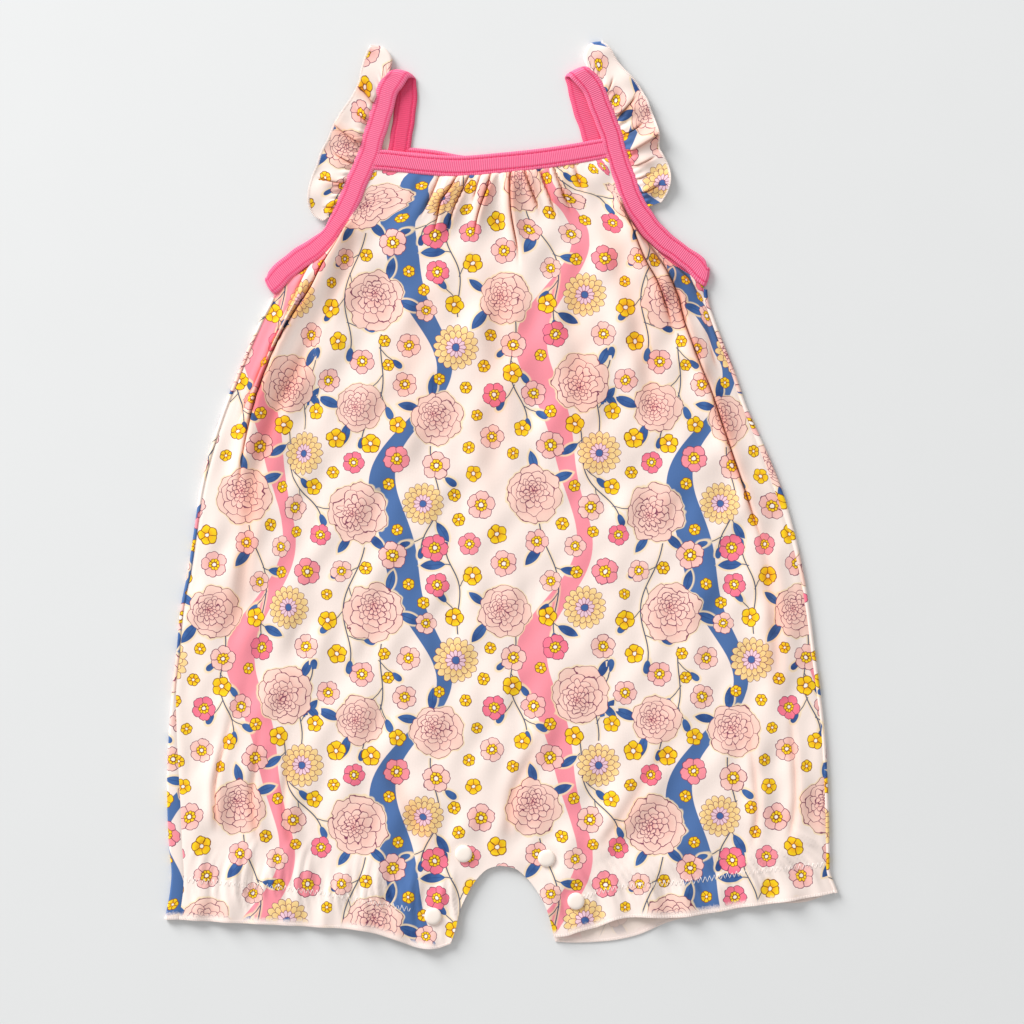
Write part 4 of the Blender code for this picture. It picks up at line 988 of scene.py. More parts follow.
class Field:
    # a node's output that adds, scales and compares like a number
    def __init__(self, tree, socket):
        self.tree, self.socket = tree, socket

    def math(self, operation, *others):
        return worked(self.tree, "ShaderNodeMath", operation, self, *others)

    def vector(self, operation, *others):
        return worked(self.tree, "ShaderNodeVectorMath", operation, self, *others)

    def parts(self):
        node = self.tree.nodes.new("ShaderNodeSeparateXYZ")
        plug(node.inputs[0], self)
        return [Field(self.tree, socket) for socket in node.outputs]

    def __add__(self, other):
        return self.math("ADD", other)

    def __sub__(self, other):
        return self.math("SUBTRACT", other)

    def __rsub__(self, other):
        return worked(self.tree, "ShaderNodeMath", "SUBTRACT", other, self)

    def __mul__(self, other):
        return self.math("MULTIPLY", other)

    def __truediv__(self, other):
        return self.math("DIVIDE", other)

    def __rtruediv__(self, other):
        return worked(self.tree, "ShaderNodeMath", "DIVIDE", other, self)

    def __abs__(self):
        return self.math("ABSOLUTE")

    __radd__, __rmul__ = __add__, __mul__

    def root(self):
        return self.math("SQRT")

    def limited(self):
        return self.math("MINIMUM", 1.0).math("MAXIMUM", 0.0)

    def within(self, width, softness):
        # 1 where the value is under the width, with a soft edge
        return ((width - self) / softness + 0.5).limited()

    def over(self, width, softness):
        return ((self - width) / softness + 0.5).limited()


def plug(socket, value):
    if isinstance(value, Field):
        value.tree.links.new(value.socket, socket)
    else:
        socket.default_value = value


def worked(tree, kind, operation, *values):
    node = tree.nodes.new(kind)
    node.operation = operation
    for socket, value in zip(node.inputs, values):
        plug(socket, value)
    return Field(tree, node.outputs[0])


def tone(red, green, blue):
    # a colour as a painter reads it, 0 to 255, made linear
    values = [c / 255 for c in (red, green, blue)]
    return (*[c / 12.92 if c <= 0.04045 else ((c + 0.055) / 1.055) ** 2.4 for c in values], 1.0)


def mixed(tree, factor, first, second, blend="MIX"):
    node = tree.nodes.new("ShaderNodeMix")
    node.data_type, node.blend_type = "RGBA", blend
    for at, value in ((0, factor), (6, first), (7, second)):
        plug(node.inputs[at], value)
    return Field(tree, node.outputs[2])


def newGroup(name, inputs, outputs):
    # inputs: name to default number, or None for a vector
    tree = bpy.data.node_groups.new(name, "ShaderNodeTree")
    for label, value in inputs.items():
        kind = "NodeSocketVector" if value is None else "NodeSocketFloat"
        socket = tree.interface.new_socket(label, in_out="INPUT", socket_type=kind)
        if value is not None:
            socket.default_value = value
    for label in outputs:
        tree.interface.new_socket(label, in_out="OUTPUT", socket_type="NodeSocketFloat")
    start = tree.nodes.new("NodeGroupInput")
    end = tree.nodes.new("NodeGroupOutput")
    return {label: Field(tree, start.outputs[label]) for label in inputs}, end.inputs


def useGroup(tree, name, **values):
    node = tree.nodes.new("ShaderNodeGroup")
    node.node_tree = bpy.data.node_groups[name]
    for label, value in values.items():
        plug(node.inputs[label], value)
    return {socket.name: Field(tree, socket) for socket in node.outputs}


def attributeField(tree, name):
    node = tree.nodes.new("ShaderNodeAttribute")
    node.attribute_name = name
    return Field(tree, node.outputs["Vector"])


def clothPlace(tree):
    node = tree.nodes.new("ShaderNodeUVMap")
    node.uv_map = "clothMap"
    return Field(tree, node.outputs[0])


def noiseField(tree, place, size, detail=2.0, output=0):
    node = tree.nodes.new("ShaderNodeTexNoise")
    plug(node.inputs["Vector"], place)
    node.inputs["Scale"].default_value = 1.0 / size
    node.inputs["Detail"].default_value = detail
    return Field(tree, node.outputs[output])


def makePetalRing():
    # a ring of oval petals round the origin, in millimetres
    settings = {"Place": None, "Petals": 5.0, "Turn": 0.0, "Reach": 5.0, "Length": 4.0, "Width": 3.0,
                "Line": 0.4, "Notch": 0.0}
    given, out = newGroup("petalRing", settings, ("Fill", "Line", "Edge", "Along"))
    soft = 0.16  # softness of every outline
    x, y, _ = given["Place"].parts()
    far = (x * x + y * y).root()
    sector = (2 * math.pi) / given["Petals"]
    angle = ((y.math("ARCTAN2", x) + given["Turn"]) / sector).math("FRACT")
    angle = (angle - 0.5) * sector
    along, beside = far * angle.math("COSINE"), far * angle.math("SINE")
    halfLength, halfWidth = given["Length"] * 0.5, given["Width"] * 0.5
    p = (along - given["Reach"] + halfLength) / halfLength
    q = beside / halfWidth
    dent = (1.0 - abs(q) / 0.4).math("MAXIMUM", 0.0)  # the notch at the middle of the petal's tip
    p = p * (1.0 + given["Notch"] * dent * dent)
    egg = (p * p + q * q).root()
    slope = ((p / halfLength).math("POWER", 2.0) + (q / halfWidth).math("POWER", 2.0)).root() + 0.001
    edge = (1.0 - egg) * egg / slope
    fill = edge.over(0.0, soft)
    outline = abs(edge).within(given["Line"] * 0.5, soft)
    seam = far * (sector * 0.5 - abs(angle)).math("SINE")
    plug(out["Fill"], fill)
    plug(out["Line"], outline.math("MAXIMUM", seam.within(given["Line"] * 0.5, soft) * fill))
    plug(out["Edge"], edge)
    plug(out["Along"], (far / given["Reach"]).math("MINIMUM", 1.0))


def makeKnitGroup():
    # fine knitted stitches: wales along y and courses along x
    given, out = newGroup("knitStitches", {"Place": None, "Wale": 0.8, "Course": 0.6}, ("Height",))
    x, y, _ = given["Place"].parts()
    wale = abs((x / given["Wale"] * math.pi).math("SINE"))
    slant = abs((x / given["Wale"]).math("FRACT") - 0.5)
    course = (y / given["Course"] + slant).math("FRACT") - 0.5
    plug(out["Height"], wale.root() * (1.0 - abs(course) * 1.4))


printColours = {
    "ground": (253, 236, 227),
    "ribbonBlue": (78, 113, 168),
    "ribbonCoral": (255, 151, 165),
    "leafBlue": (66, 106, 166),
    "leafDark": (46, 78, 136),
    "stem": (78, 88, 116),
    "stemPale": (246, 222, 190),
    "halo": (253, 226, 184),
    "outline": (132, 66, 92),
    "roseDeep": (243, 156, 148),
    "rosePale": (255, 214, 199),
    "sunPetal": (254, 222, 158),
    "sunDeep": (244, 186, 90),
    "sunInner": (245, 205, 218),
    "sunEye": (70, 105, 165),
    "blossomPale": (255, 208, 197),
    "blossomHot": (252, 122, 148),
    "button": (255, 212, 26),
    "buttonDeep": (246, 166, 20),
    "buttonLine": (140, 72, 14),
    "centre": (255, 244, 236),
    "wrongSide": (246, 228, 216),
    "hem": (252, 229, 219),
    "hemThread": (255, 246, 240),
    # painted shade: the dark line down in a crease, and the warm shade towards it
    "crease": (112, 58, 50),
    "paintedFoldShade": (250, 204, 186),
}
printRings = {
    # reach, length, width, petals, how far up its middle lies, turn, how pale
    "roses": ((18.0, 12.0, 15.5, 7, 0.0, 0.0, 0.95), (14.0, 10.0, 11.5, 7, 0.8, 0.45, 0.7),
              (10.4, 9.0, 6.0, 11, 1.8, 0.1, 0.85), (7.4, 7.0, 4.2, 10, 2.6, 0.35, 0.5),
              (4.8, 4.6, 2.9, 9, 3.2, 0.2, 0.75), (2.3, 2.3, 2.0, 5, 3.6, 0.6, 0.4)),
    "sunbursts": ((18.0, 11.5, 6.6, 16, 0.0, 0.0, 0.8), (13.4, 8.0, 5.0, 14, 0.0, 0.2, 1.0)),
    "sunHeart": (8.2, 6.0, 3.4, 12, 0.0, 0.1),
    "blossom": (8.0, 7.2, 7.8, 5),
    "blossomHeart": (3.5, 2.0, 2.3, 8, 0.0, 0.2),
    "button": (5.0, 4.2, 4.9),
}
printDots = {
    # radius and softness, then radius, half width and softness of the line round it
    "sunEye": (3.1, 0.3, 3.1, 0.25, 0.2),
    "blossomEye": (1.3, 0.2, 1.35, 0.2, 0.16),
    "buttonEye": (1.15, 0.25, 1.2, 0.2, 0.2),
}
printShades = {
    # from where up a petal, over what length, and how strongly it takes its second colour
    "sunburst": (0.62, 0.7),
    "blossom": (0.55, 0.5, 0.35),
    "button": (0.55, 0.4, 0.7),
    "rose": (1.1, 0.25, 0.3),  # growth along the petal, how late it starts, and what a pale ring adds
    "leaf": (0.52, 0.25),  # the mottle at which a leaf turns dark, and its softness
}


jerseyFinish = {
    "line": 0.42,  # how wide the print's outlines are, and those at the heart of a flower
    "heartLine": 0.4,
    "notch": 0.16,  # in the tips of a blossom's petals
    "ribbonEdge": 0.3,
    "handDrawn": (3.2, 1.5),  # size and depth of the unevenness of all motifs, and more of it in the roses
    "roseBend": (7.0, 6.0),
    "stem": (0.34, 0.2),  # half width and softness
    "halo": 0.85,
    "ghost": 0.2,  # how much of the print shows on the wrong side
    # thread that covers a hem: depth and softness, pitch, slant, how ragged it is in large and in small, how
    # fully it covers, and how much lighter its ridges are
    "hemDepth": (5.4, 2.4),
    "hemPitch": 0.9,
    "hemSlant": 0.4,
    "hemRagged": (1.2, 3.0),
    "hemCover": 0.9,
    "hemLight": 0.6,
    "mottleSize": (9.0, 0.9, 1.1),  # large, ragged and fine, and the colour where the fine one is darkest
    "dim": (0.955, 0.95, 0.95, 1.0),
    "foldShadeGrowth": 2.6,  # painted shade: how quickly the cloth turns to the warm painted shade towards a crease, and where the painted dark line starts
    "creaseShadeLine": (0.6, 0.8),
    "knit": {"Wale": 0.85, "Course": 0.65},
    # leaves, in shares of their length: radius of each side's arc and how far its centre lies beside
    "leafArc": (0.745, 0.545),
    # buds: where they are widest, their reach forward and back of it, and half their width
    "bud": (0.64, 0.36, 0.64, 0.27),
    "haloReach": (1.1, 1.0, 0.7),  # round flowers and stems, round leaves, and its softness
    "bump": (0.25, 0.06),  # strength and depth
    "numbers": {"Roughness": 0.86, "Specular IOR Level": 0.25, "Sheen Weight": 0.12},
}


def newMaterial(name):
    material = bpy.data.materials.new(name)
    material.use_nodes = True
    return material, material.node_tree


def finishMaterial(material, colour, height, bump, numbers):
    # its colour, its relief (strength, and depth in millimetres) and its plain numbers
    tree = material.node_tree
    shader = tree.nodes["Principled BSDF"]
    relief = tree.nodes.new("ShaderNodeBump")
    relief.inputs["Strength"].default_value = bump[0]
    relief.inputs["Distance"].default_value = bump[1] * mm
    plug(relief.inputs["Height"], height)
    for label, value in {"Base Color": colour, "Normal": Field(tree, relief.outputs[0]), **numbers}.items():
        plug(shader.inputs[label], value)
    return material


def printedJersey():
    # printed cotton jersey; the wrong side shows the print faintly, hems are covered with thread, and creases
    # get painted shade
    finish = jerseyFinish
    material, tree = newMaterial("printedJersey")
    paint = {name: tone(*values) for name, values in printColours.items()}
    paint["white"] = (1.0, 1.0, 1.0, 1.0)
    place = clothPlace(tree)
    large, ragged, fine = finish["mottleSize"]
    mottle = noiseField(tree, place, large, 3.0)
    colour = paint["ground"]

    def uneven(size, depth):
        noise = noiseField(tree, place, size, 1.0, output=1)
        return noise.vector("SUBTRACT", (0.5, 0.5, 0.5)).vector("MULTIPLY", (depth, depth, 0.0))

    def mix(mask, first, second, blend="MIX"):
        first, second = (paint[c] if isinstance(c, str) else c for c in (first, second))
        return mixed(tree, mask, first, second, blend)

    def lay(mask, cover, blend="MIX"):
        nonlocal colour
        colour = mix(mask, colour, cover, blend)

    def ring(place, reach, length, width, petals, up=0.0, turn=0.0, pale=0.0, line=finish["line"], **more):
        shifted = place.vector("SUBTRACT", (0.0, up, 0.0)) if up else place
        shape = {"Place": shifted, "Petals": petals, "Turn": turn, "Reach": reach, "Length": length}
        return useGroup(tree, "petalRing", **shape, Width=width, Line=line, **more), pale

    def drawRing(shape, petal, line="outline"):
        lay(shape["Fill"], petal)
        lay(shape["Line"], line)

    def drawDot(place, name, cover, line):
        radius, softness, lineAt, *lineWidth = printDots[name]
        x, y, _ = place.parts()
        away = (x * x + y * y).root()
        lay(away.within(radius, softness), cover)
        lay(abs(away - lineAt).within(*lineWidth), line)

    def sentAway(flowers, share):
        # far out of sight where the share is 1
        node = tree.nodes.new("ShaderNodeCombineXYZ")
        plug(node.inputs[0], share * 900.0)
        return flowers.vector("ADD", Field(tree, node.outputs[0]))

    blue, coral, _ = attributeField(tree, "ribbons").parts()
    onBlue = blue.within(0.0, finish["ribbonEdge"])
    lay(coral.within(0.0, finish["ribbonEdge"]), "ribbonCoral")
    lay(onBlue, "ribbonBlue")
    wobble = uneven(*finish["handDrawn"])
    big = attributeField(tree, "bigFlowers")
    isSun = big.parts()[2]
    suns = big.vector("ADD", wobble)
    roses = sentAway(suns.vector("ADD", uneven(*finish["roseBend"])), isSun)
    suns = sentAway(suns, 1.0 - isSun)
    roseRings = [ring(roses, *row) for row in printRings["roses"]]

    # leaves and buds: place along and across in shares of their length
    along, across, size = attributeField(tree, "leaves").parts()
    length, across = abs(size), abs(across)
    arc, beside = finish["leafArc"]
    lens = arc - ((along - 0.5).math("POWER", 2.0) + (across + beside).math("POWER", 2.0)).root()
    widest, forward, back, half = finish["bud"]
    behind = (along - widest).math("LESS_THAN", 0.0)
    reach = behind * (back - forward) + forward
    egg = (((along - widest) / reach).math("POWER", 2.0) + (across / half).math("POWER", 2.0)).root()
    isBud = size.math("LESS_THAN", 0.0)
    leafEdge = (lens + (half - egg * half - lens) * isBud) * length
    # the print's stems, and in the third part the painted shade of the creases
    vine, twig, paintedShade = attributeField(tree, "stemsAndShade").parts()
    stemGap = abs(vine).math("MINIMUM", abs(twig) + 0.08)

    # pale gold halo round flowers, stems and leaves
    wide, narrow, softness = finish["haloReach"]
    halo = roseRings[0][0]["Edge"].over(-wide, softness).math("MAXIMUM", leafEdge.over(-narrow, softness))
    halo = halo.math("MAXIMUM", stemGap.within(wide, softness) * 0.8)
    lay(halo * finish["halo"], "halo")
    lay(stemGap.within(*finish["stem"]), mix(onBlue, "stem", "stemPale"))
    leafColour = mix(mottle.over(*printShades["leaf"]), "leafBlue", "leafDark")
    vein = (across * length).within(0.16, 0.16) * (1.0 - isBud) * abs(along - 0.5).within(0.34, 0.1)
    lay(leafEdge.over(0.0, 0.18), mix(vein, leafColour, "leafDark"))

    growth, late, paler = printShades["rose"]
    for rose, pale in roseRings:
        shade = (rose["Along"] * growth - late + pale * paler).limited()
        drawRing(rose, mix(shade, "roseDeep", "rosePale"))
    for sun, _ in [ring(suns, *row) for row in printRings["sunbursts"]]:
        drawRing(sun, mix(sun["Along"].over(*printShades["sunburst"]), "sunDeep", "sunPetal"))
    drawRing(ring(suns, *printRings["sunHeart"], line=finish["heartLine"])[0], "sunInner")
    drawDot(suns, "sunEye", "sunEye", "outline")

    blossom = attributeField(tree, "blossoms")
    hot = blossom.parts()[2]
    blossom = blossom.vector("ADD", wobble)
    petals, _ = ring(blossom, *printRings["blossom"], Notch=finish["notch"])
    petal = mix(hot, "blossomPale", "blossomHot")
    *depth, strength = printShades["blossom"]
    drawRing(petals, mix(petals["Along"].within(*depth) * strength, petal, "roseDeep"))
    heart, _ = ring(blossom, *printRings["blossomHeart"], line=finish["heartLine"])
    drawRing(heart, "button", "buttonLine")
    drawDot(blossom, "blossomEye", "centre", "buttonLine")

    button = attributeField(tree, "buttons")
    isSmall = button.parts()[2]
    button = button.vector("ADD", wobble)
    line = isSmall * 0.2 + finish["line"]  # a small one has six petals, and a bolder line
    petals, _ = ring(button, *printRings["button"], isSmall + 5.0, line=line)
    *depth, strength = printShades["button"]
    petal = mix(petals["Along"].within(*depth) * strength, "button", "buttonDeep")
    drawRing(petals, petal, "buttonLine")
    drawDot(button, "buttonEye", "centre", "buttonLine")

    # hems, the wrong side, the cloth itself and the painted shade of the creases
    fromHem, alongHem, wrong = attributeField(tree, "edge").parts()
    lay(wrong.over(0.5, 0.2), mix(finish["ghost"], "wrongSide", colour))
    hemWave = ((alongHem + fromHem * finish["hemSlant"]) * (2 * math.pi / finish["hemPitch"])).math("SINE")
    ragged, fine = noiseField(tree, place, ragged, 1.0), noiseField(tree, place, fine)
    broad, small = finish["hemRagged"]
    hemMask = (fromHem + mottle * broad + ragged * small).within(*finish["hemDepth"])
    lay(hemMask * finish["hemCover"], mix(hemWave.over(0.0, 1.6) * finish["hemLight"], "hem", "hemThread"))
    lay(1.0, mix(fine, finish["dim"], "white"), "MULTIPLY")
    # painted shade: the cloth turns warm towards a crease and dark down in it
    folds = mix((paintedShade * finish["foldShadeGrowth"]).math("MINIMUM", 1.0), "white", "paintedFoldShade")
    lay(1.0, mix(paintedShade.over(*finish["creaseShadeLine"]), folds, "crease"), "MULTIPLY")
    knit = useGroup(tree, "knitStitches", Place=place, **finish["knit"])
    return finishMaterial(material, colour, knit["Height"] + fine * 0.6, finish["bump"], finish["numbers"])


ribFinish = {
    "pink": (254, 139, 173),
    # painted shade in the grooves between the ribs
    "grooveShade": (240, 76, 126),
    # along the stitch lines: partly the thread's own darker pink, partly painted shade
    "stitch": (236, 58, 112),
    # the wrong side's darker pink, partly its own colour and partly painted shade
    "inside": (236, 70, 112),
    "pitch": 1.05,
    "grooves": (0.1, 1.6, 0.75),  # painted shade between the ribs: width, softness and depth of the colour
    "stitchLines": (0.5, 0.8, 0.6),  # the same where the stitches run, a darker pink that is partly the thread's own and partly painted shade in their grooves
    "insideShare": 0.6,
    "mottleSize": 1.6,
    "dim": (0.93, 0.91, 0.92, 1.0),
    "knit": {"Wale": 0.6, "Course": 0.5},
    "bump": (0.3, 0.08),
    "numbers": {"Roughness": 0.85, "Specular IOR Level": 0.25, "Sheen Weight": 0.2},
}


def pinkRib():
    finish = ribFinish
    material, tree = newMaterial("pinkRib")
    pink, grooveShade, stitch, wrongSide = (tone(*finish[key]) for key in ("pink", "grooveShade", "stitch", "inside"))
    place = clothPlace(tree)
    along, across, _ = place.parts()
    inside = attributeField(tree, "edge").parts()[2]
    # painted shade in the grooves between the ribs
    *width, share = finish["grooves"]
    groove = (along * (2 * math.pi / finish["pitch"])).math("COSINE").within(*width)
    colour = mixed(tree, groove * share, pink, grooveShade)
    # a darker pink along the stitch lines, partly the thread's own colour and partly painted shade in their
    # grooves
    *width, share = finish["stitchLines"]
    line = abs(abs(across) - ribSection["stitchAt"]).within(*width)
    colour = mixed(tree, line * share, colour, stitch)
    # the wrong side's darker pink, partly its own colour and partly painted shade
    colour = mixed(tree, inside * finish["insideShare"], colour, wrongSide)
    mottle = noiseField(tree, place, finish["mottleSize"])
    colour = mixed(tree, 1.0, colour, mixed(tree, mottle, finish["dim"], (1, 1, 1, 1)), "MULTIPLY")
    knit = useGroup(tree, "knitStitches", Place=place, **finish["knit"])
    return finishMaterial(material, colour, knit["Height"] + mottle, finish["bump"], finish["numbers"])


plainFinishes = {
    # colour and its mottle, size of the mottle, roughness, specular level, depth of the relief
    "snapPlastic": ((255, 243, 233), (252, 237, 225), 3.0, 0.4, 0.4, 0.01),
    "creamThread": ((255, 251, 248), (252, 238, 230), 0.6, 0.8, 0.2, 0.05),
    "pinkThread": ((244, 74, 126), (226, 48, 100), 0.6, 0.75, 0.3, 0.05),
    "floorPaint": ((229, 230, 230), (227, 228, 228), 60.0, 0.7, 0.2, 0.0),
}
plainSpread = 0.1  # how far the roughness varies with the mottle, and how strong the relief is
plainRelief = 0.3


def plainFinish(name):
    # plastic, thread or floor: one colour with a fine mottle
    colour, shade, size, roughness, specular, depth = plainFinishes[name]
    material, tree = newMaterial(name)
    place = tree.nodes.new("ShaderNodeTexCoord")
    place = Field(tree, place.outputs["Object"]).vector("MULTIPLY", (1000.0, 1000.0, 1000.0))
    mottle = noiseField(tree, place, size, 3.0)
    paint = mixed(tree, mottle, tone(*shade), tone(*colour))
    uneven = mottle * plainSpread + (roughness - plainSpread / 2)
    numbers = {"Roughness": uneven, "Specular IOR Level": specular}
    return finishMaterial(material, paint, mottle, (plainRelief, depth), numbers)


ribSection = {
    "rib": 0.12,  # half the height of a rib
    "stitchAt": 3.6,
    "groove": 0.26,  # depth of the groove under a line of stitches, and how much it flattens the ribs
    "grooveWidth": 0.42,
    "pressed": 0.75,
    "edgePower": 7,
    "edgeFade": 0.5,
    "top": (0.0, 1.3, 2.4, 2.95, 3.3, 3.6, 3.9, 4.3, 4.8, 5.3, 5.7, 5.93),  # section points from the middle
    "under": (0.0, 2.6, 4.4, 5.5, 5.9),
}

makePetalRing()
makeKnitGroup()
jersey = printedJersey()
rib = pinkRib()
snapPlastic, creamThread, pinkThread, floorPaint = (plainFinish(name) for name in plainFinishes)
print("materials made:", ", ".join(material.name for material in bpy.data.materials))


# Front panel

def makeFrontPanel():
    panel = frontPanel

    def inset(side, y):
        return seamInset(side, y) - panel["seamLap"]

    plan = panelPlan("front", panel, inset)
    half, split = plan.shape[1] // 2, panel["trunkRows"]
    halves = (slice(0, half), slice(half, None))
    fromTop = downLength(plan)
    sideGap = np.minimum(*[
        np.abs(plan[..., 0] - sidePoint(s, plan[..., 1], seamInset(s, plan[..., 1]))[..., 0]) for s in (-1, 1)
    ])
    atSide = 1 - np.exp(-((sideGap / creaseShape["seamReach"]) ** 2))
    atNeck = 1 - creaseShape["seamHold"] * np.exp(-((fromTop / creaseShape["seamReach"]) ** 2))
    hold = atSide * atNeck * snapFade(plan)
    creased = [creasedPlan(plan[:, part], (*neckCreases, *bodyCreases), hold[:, part]) for part in halves]
    moved, lift, flat, paintedShade = (np.hstack(pair) for pair in zip(*creased))
    lift = np.maximum(lift + softRipples(plan) * hold, panel["lowest"])
    lift += seamPuckers(plan[..., 0], acrossLength(plan)) * (1 - atNeck) / creaseShape["seamHold"]
    above, alongHem = hemPlaces(plan, split, fromArch=True)
    for side, part in zip((-1, 1), halves):
        leg = plan[split:, part]
        up, along = above[split:, part], alongHem[split:, part]
        share = np.broadcast_to(np.linspace(0, 1, leg.shape[1]), leg.shape[:2])
        join = easeStep(downLength(leg), 0.0, legGathers["join"])
        lift[split:, part] += legLift(side, up, along, share) * join * hold[split:, part]
    least, growth, growsFrom = creaseShape["bindingLift"]
    lift = np.minimum(lift, least + growth * np.maximum(0.0, fromTop - growsFrom))
    dip, dipFrom, dipTo = panel["bindingDip"]
    lift -= dip * (1 - easeStep(fromTop, dipFrom, dipTo))
    lift = panel["level"] + lift - panel["seamDip"] * bell(sideGap, 0, panel["seamDipWidth"])
    middle = np.dstack([moved, lift])
    reach = offsetNormals(middle, split) * (panel["wall"] / 2)
    lower, upper = middle - reach, middle + reach
    places = flat + panel["printOffset"]
    return printedCloth("frontPanel", lower, upper, places, above, alongHem, paintedShade, split), upper


frontPiece, frontTop = makeFrontPanel()


# Back panel

def makeBackPanel():
    panel = backPanel
    plan = panelPlan("back", panel, lambda side, y: np.full(np.shape(y), panel["gridInset"]))
    split = panel["trunkRows"]
    radius = (frontPanel["level"] - panel["level"]) / 2
    centreIn = radius + panel["wall"] / 2

    def turned(side, ys):
        # from the flat part's edge round the fold to the seam on the front
        angles = np.linspace(-np.pi / 2, np.pi / 2, panel["turnCells"] + 1)
        x = sidePoint(side, ys)[:, 0]
        rim = [np.stack([x - side * (centreIn - radius * math.cos(a)), ys,
                         panel["level"] + radius + radius * np.sin(a) + ys * 0], axis=1) for a in angles]
        seam = seamInset(side, ys)
        for share in panel["lapRows"]:
            back = centreIn + (np.maximum(seam, centreIn + 0.1) - centreIn) * share
            dip = frontPanel["seamDip"] * bell((1 - share) * (seam - centreIn), 0, frontPanel["seamDipWidth"])
            rim.append(np.stack([x - side * back, ys, panel["level"] + 2 * radius - dip], axis=1))
        return np.stack(rim, axis=1)

    left, right = (turned(side, plan[:, at, 1]) for side, at in ((-1, 0), (1, -1)))
    level = np.full(plan.shape[:2], panel["level"])
    middle = np.hstack([left[:, ::-1], np.dstack([plan, level]), right])
    half = middle.shape[1] // 2
    reach = offsetNormals(middle, split) * (panel["wall"] / 2)
    inner, outer = middle + reach, middle - reach
    outer[..., 2] = np.maximum(outer[..., 2], 0.0)
    run = acrossLength(middle[:, :half])
    flatLeft = middle[:, half - 1:half, 0] - (run[:, -1:] - run)
    flatRight = middle[:, half:half + 1, 0] + acrossLength(middle[:, half:])
    places = np.dstack([-np.hstack([flatLeft, flatRight]), middle[..., 1]]) + panel["printOffset"]
    above, alongHem = hemPlaces(middle, split)
    paintedShade = np.zeros(middle.shape[:2])
    return printedCloth("backPanel", outer, inner, places, above, alongHem, paintedShade, split, rightSide=0), inner


backPiece, backInner = makeBackPanel()


# Rib bindings

def sectionPoints(width):
    # round a binding: places across it, and +1 on its upper face, -1 below, 0 at its edges
    half = width / 2
    scale = half / 6.0  # the places are given for a binding 12 mm wide
    tops, unders = ([u * scale for u in ribSection[key]] for key in ("top", "under"))
    top = [-u for u in tops[:0:-1]] + tops
    under = unders[:0:-1] + [-u for u in unders]
    points = [(-half, 0)] + [(u, 1) for u in top] + [(half, 0)] + [(u, -1) for u in under]
    return np.array(points).T


def bindingHeight(across, along, width):
    # half the thickness of a binding at a place across and along it
    shape, half = ribSection, width / 2
    body = strapCut["wall"] / 2 * np.sqrt(np.maximum(0.0, 1 - (np.abs(across) / half) ** shape["edgePower"]))
    stitch = bell(np.abs(across), shape["stitchAt"], shape["grooveWidth"])
    edges = np.clip((half - np.abs(across)) / shape["edgeFade"], 0, 1)
    ribs = shape["rib"] * np.cos(2 * np.pi * along / ribFinish["pitch"])
    return body + (ribs * (1 - shape["pressed"] * stitch) - shape["groove"] * stitch) * edges


def ringGrid(name, points, along, across, inside, closed):
    # a tube from a grid of points: rows along it, columns round it; along and across are its flat places
    rows, columns = points.shape[0] - (0 if closed else 1), points.shape[1]
    bm, column, row = labelledGrid(columns, rows)
    for vert in bm.verts:
        vert.co = points[vert[row] % len(points), vert[column] % columns] * mm
    bmesh.ops.remove_doubles(bm, verts=bm.verts, dist=1e-7)
    if not closed:
        bmesh.ops.holes_fill(bm, edges=[e for e in bm.edges if e.is_boundary])
        bmesh.ops.triangulate(bm, faces=[f for f in bm.faces if len(f.verts) > 4])
    bmesh.ops.recalc_face_normals(bm, faces=bm.faces)
    obj = meshObject(name, bm)
    mesh = obj.data
    corner = cornerIndex(mesh)
    rowOf, columnOf = numbersOf(mesh, "row")[corner], numbersOf(mesh, "column")[corner]
    if closed:  # the last ring of faces ends at the first row
        starts = np.zeros(len(mesh.polygons), np.int32)
        mesh.polygons.foreach_get("loop_start", starts)
        face = np.repeat(np.arange(len(starts)), np.diff(np.append(starts, len(corner))))
        highest = np.maximum.reduceat(rowOf, starts)[face]
        rowOf = np.where((rowOf == 0) & (highest > rows / 2), rows, rowOf)
    writeMap(mesh, np.column_stack([along[rowOf], across[columnOf % columns]]))
    # how much of the wrong side's darker pink each row takes, partly painted shade
    shade = inside[rowOf % len(inside)]
    writeVectors(mesh, "edge", np.column_stack([shade * 0, shade * 0, shade]))
    mesh.materials.append(rib)
    print(f"{name}:", len(mesh.polygons), "faces")
    return obj


def strapDraw(side, ring, widths):
    # how far the strap's edges draw in from a plain band
    share = np.clip(widths / (strapCut["width"] / 2), -1, 1)
    moved = np.zeros((len(ring), len(widths), 3))
    both, single = strapCut["drawPowers"]
    for x, y, reach, aside, up, edge in strapCut["draws"][side]:
        fade = bell(np.linalg.norm(ring[:, :2] - (x, y), axis=1), 0.0, reach)
        corner = np.abs(share) ** both if edge == 0 else np.maximum(share * edge, 0.0) ** single
        moved += (fade[:, None] * corner)[..., None] * (aside, up, 0.0)
    return moved


def makeStrap(side):
    ring, tangents, across = strapSections(side, strapCut["step"])
    along = lengthsAlong(ring)
    total = along[-1] + np.linalg.norm(ring[0] - ring[-1])
    pitch = total / round(total / ribFinish["pitch"])
    flat = np.append(along, total) * ribFinish["pitch"] / pitch
    normals = unit(np.cross(tangents, across))
    sway = sum(depth * np.sin(2 * np.pi * waves * along / total) for depth, waves in strapCut["sway"])
    ring = ring + across * sway[:, None]
    widths, faces = sectionPoints(strapCut["width"])
    height = bindingHeight(widths[None], flat[:-1, None], strapCut["width"]) * faces
    points = ring[:, None] + across[:, None] * widths[None, :, None] + normals[:, None] * height[..., None]
    points += strapDraw(side, ring, widths)
    # the wrong side's darker pink below this height: partly its own colour, partly painted shade, more on the
    # left
    inside = easeStep(strapCut["innerBelow"] - ring[:, 2], 0.0, 1.0) * strapCut["wrongSideAndShade"][side]
    obj = ringGrid(f"strap{sideNames[side]}", points, flat, widths, inside, closed=True)
    return obj, (ring, across, normals, total)


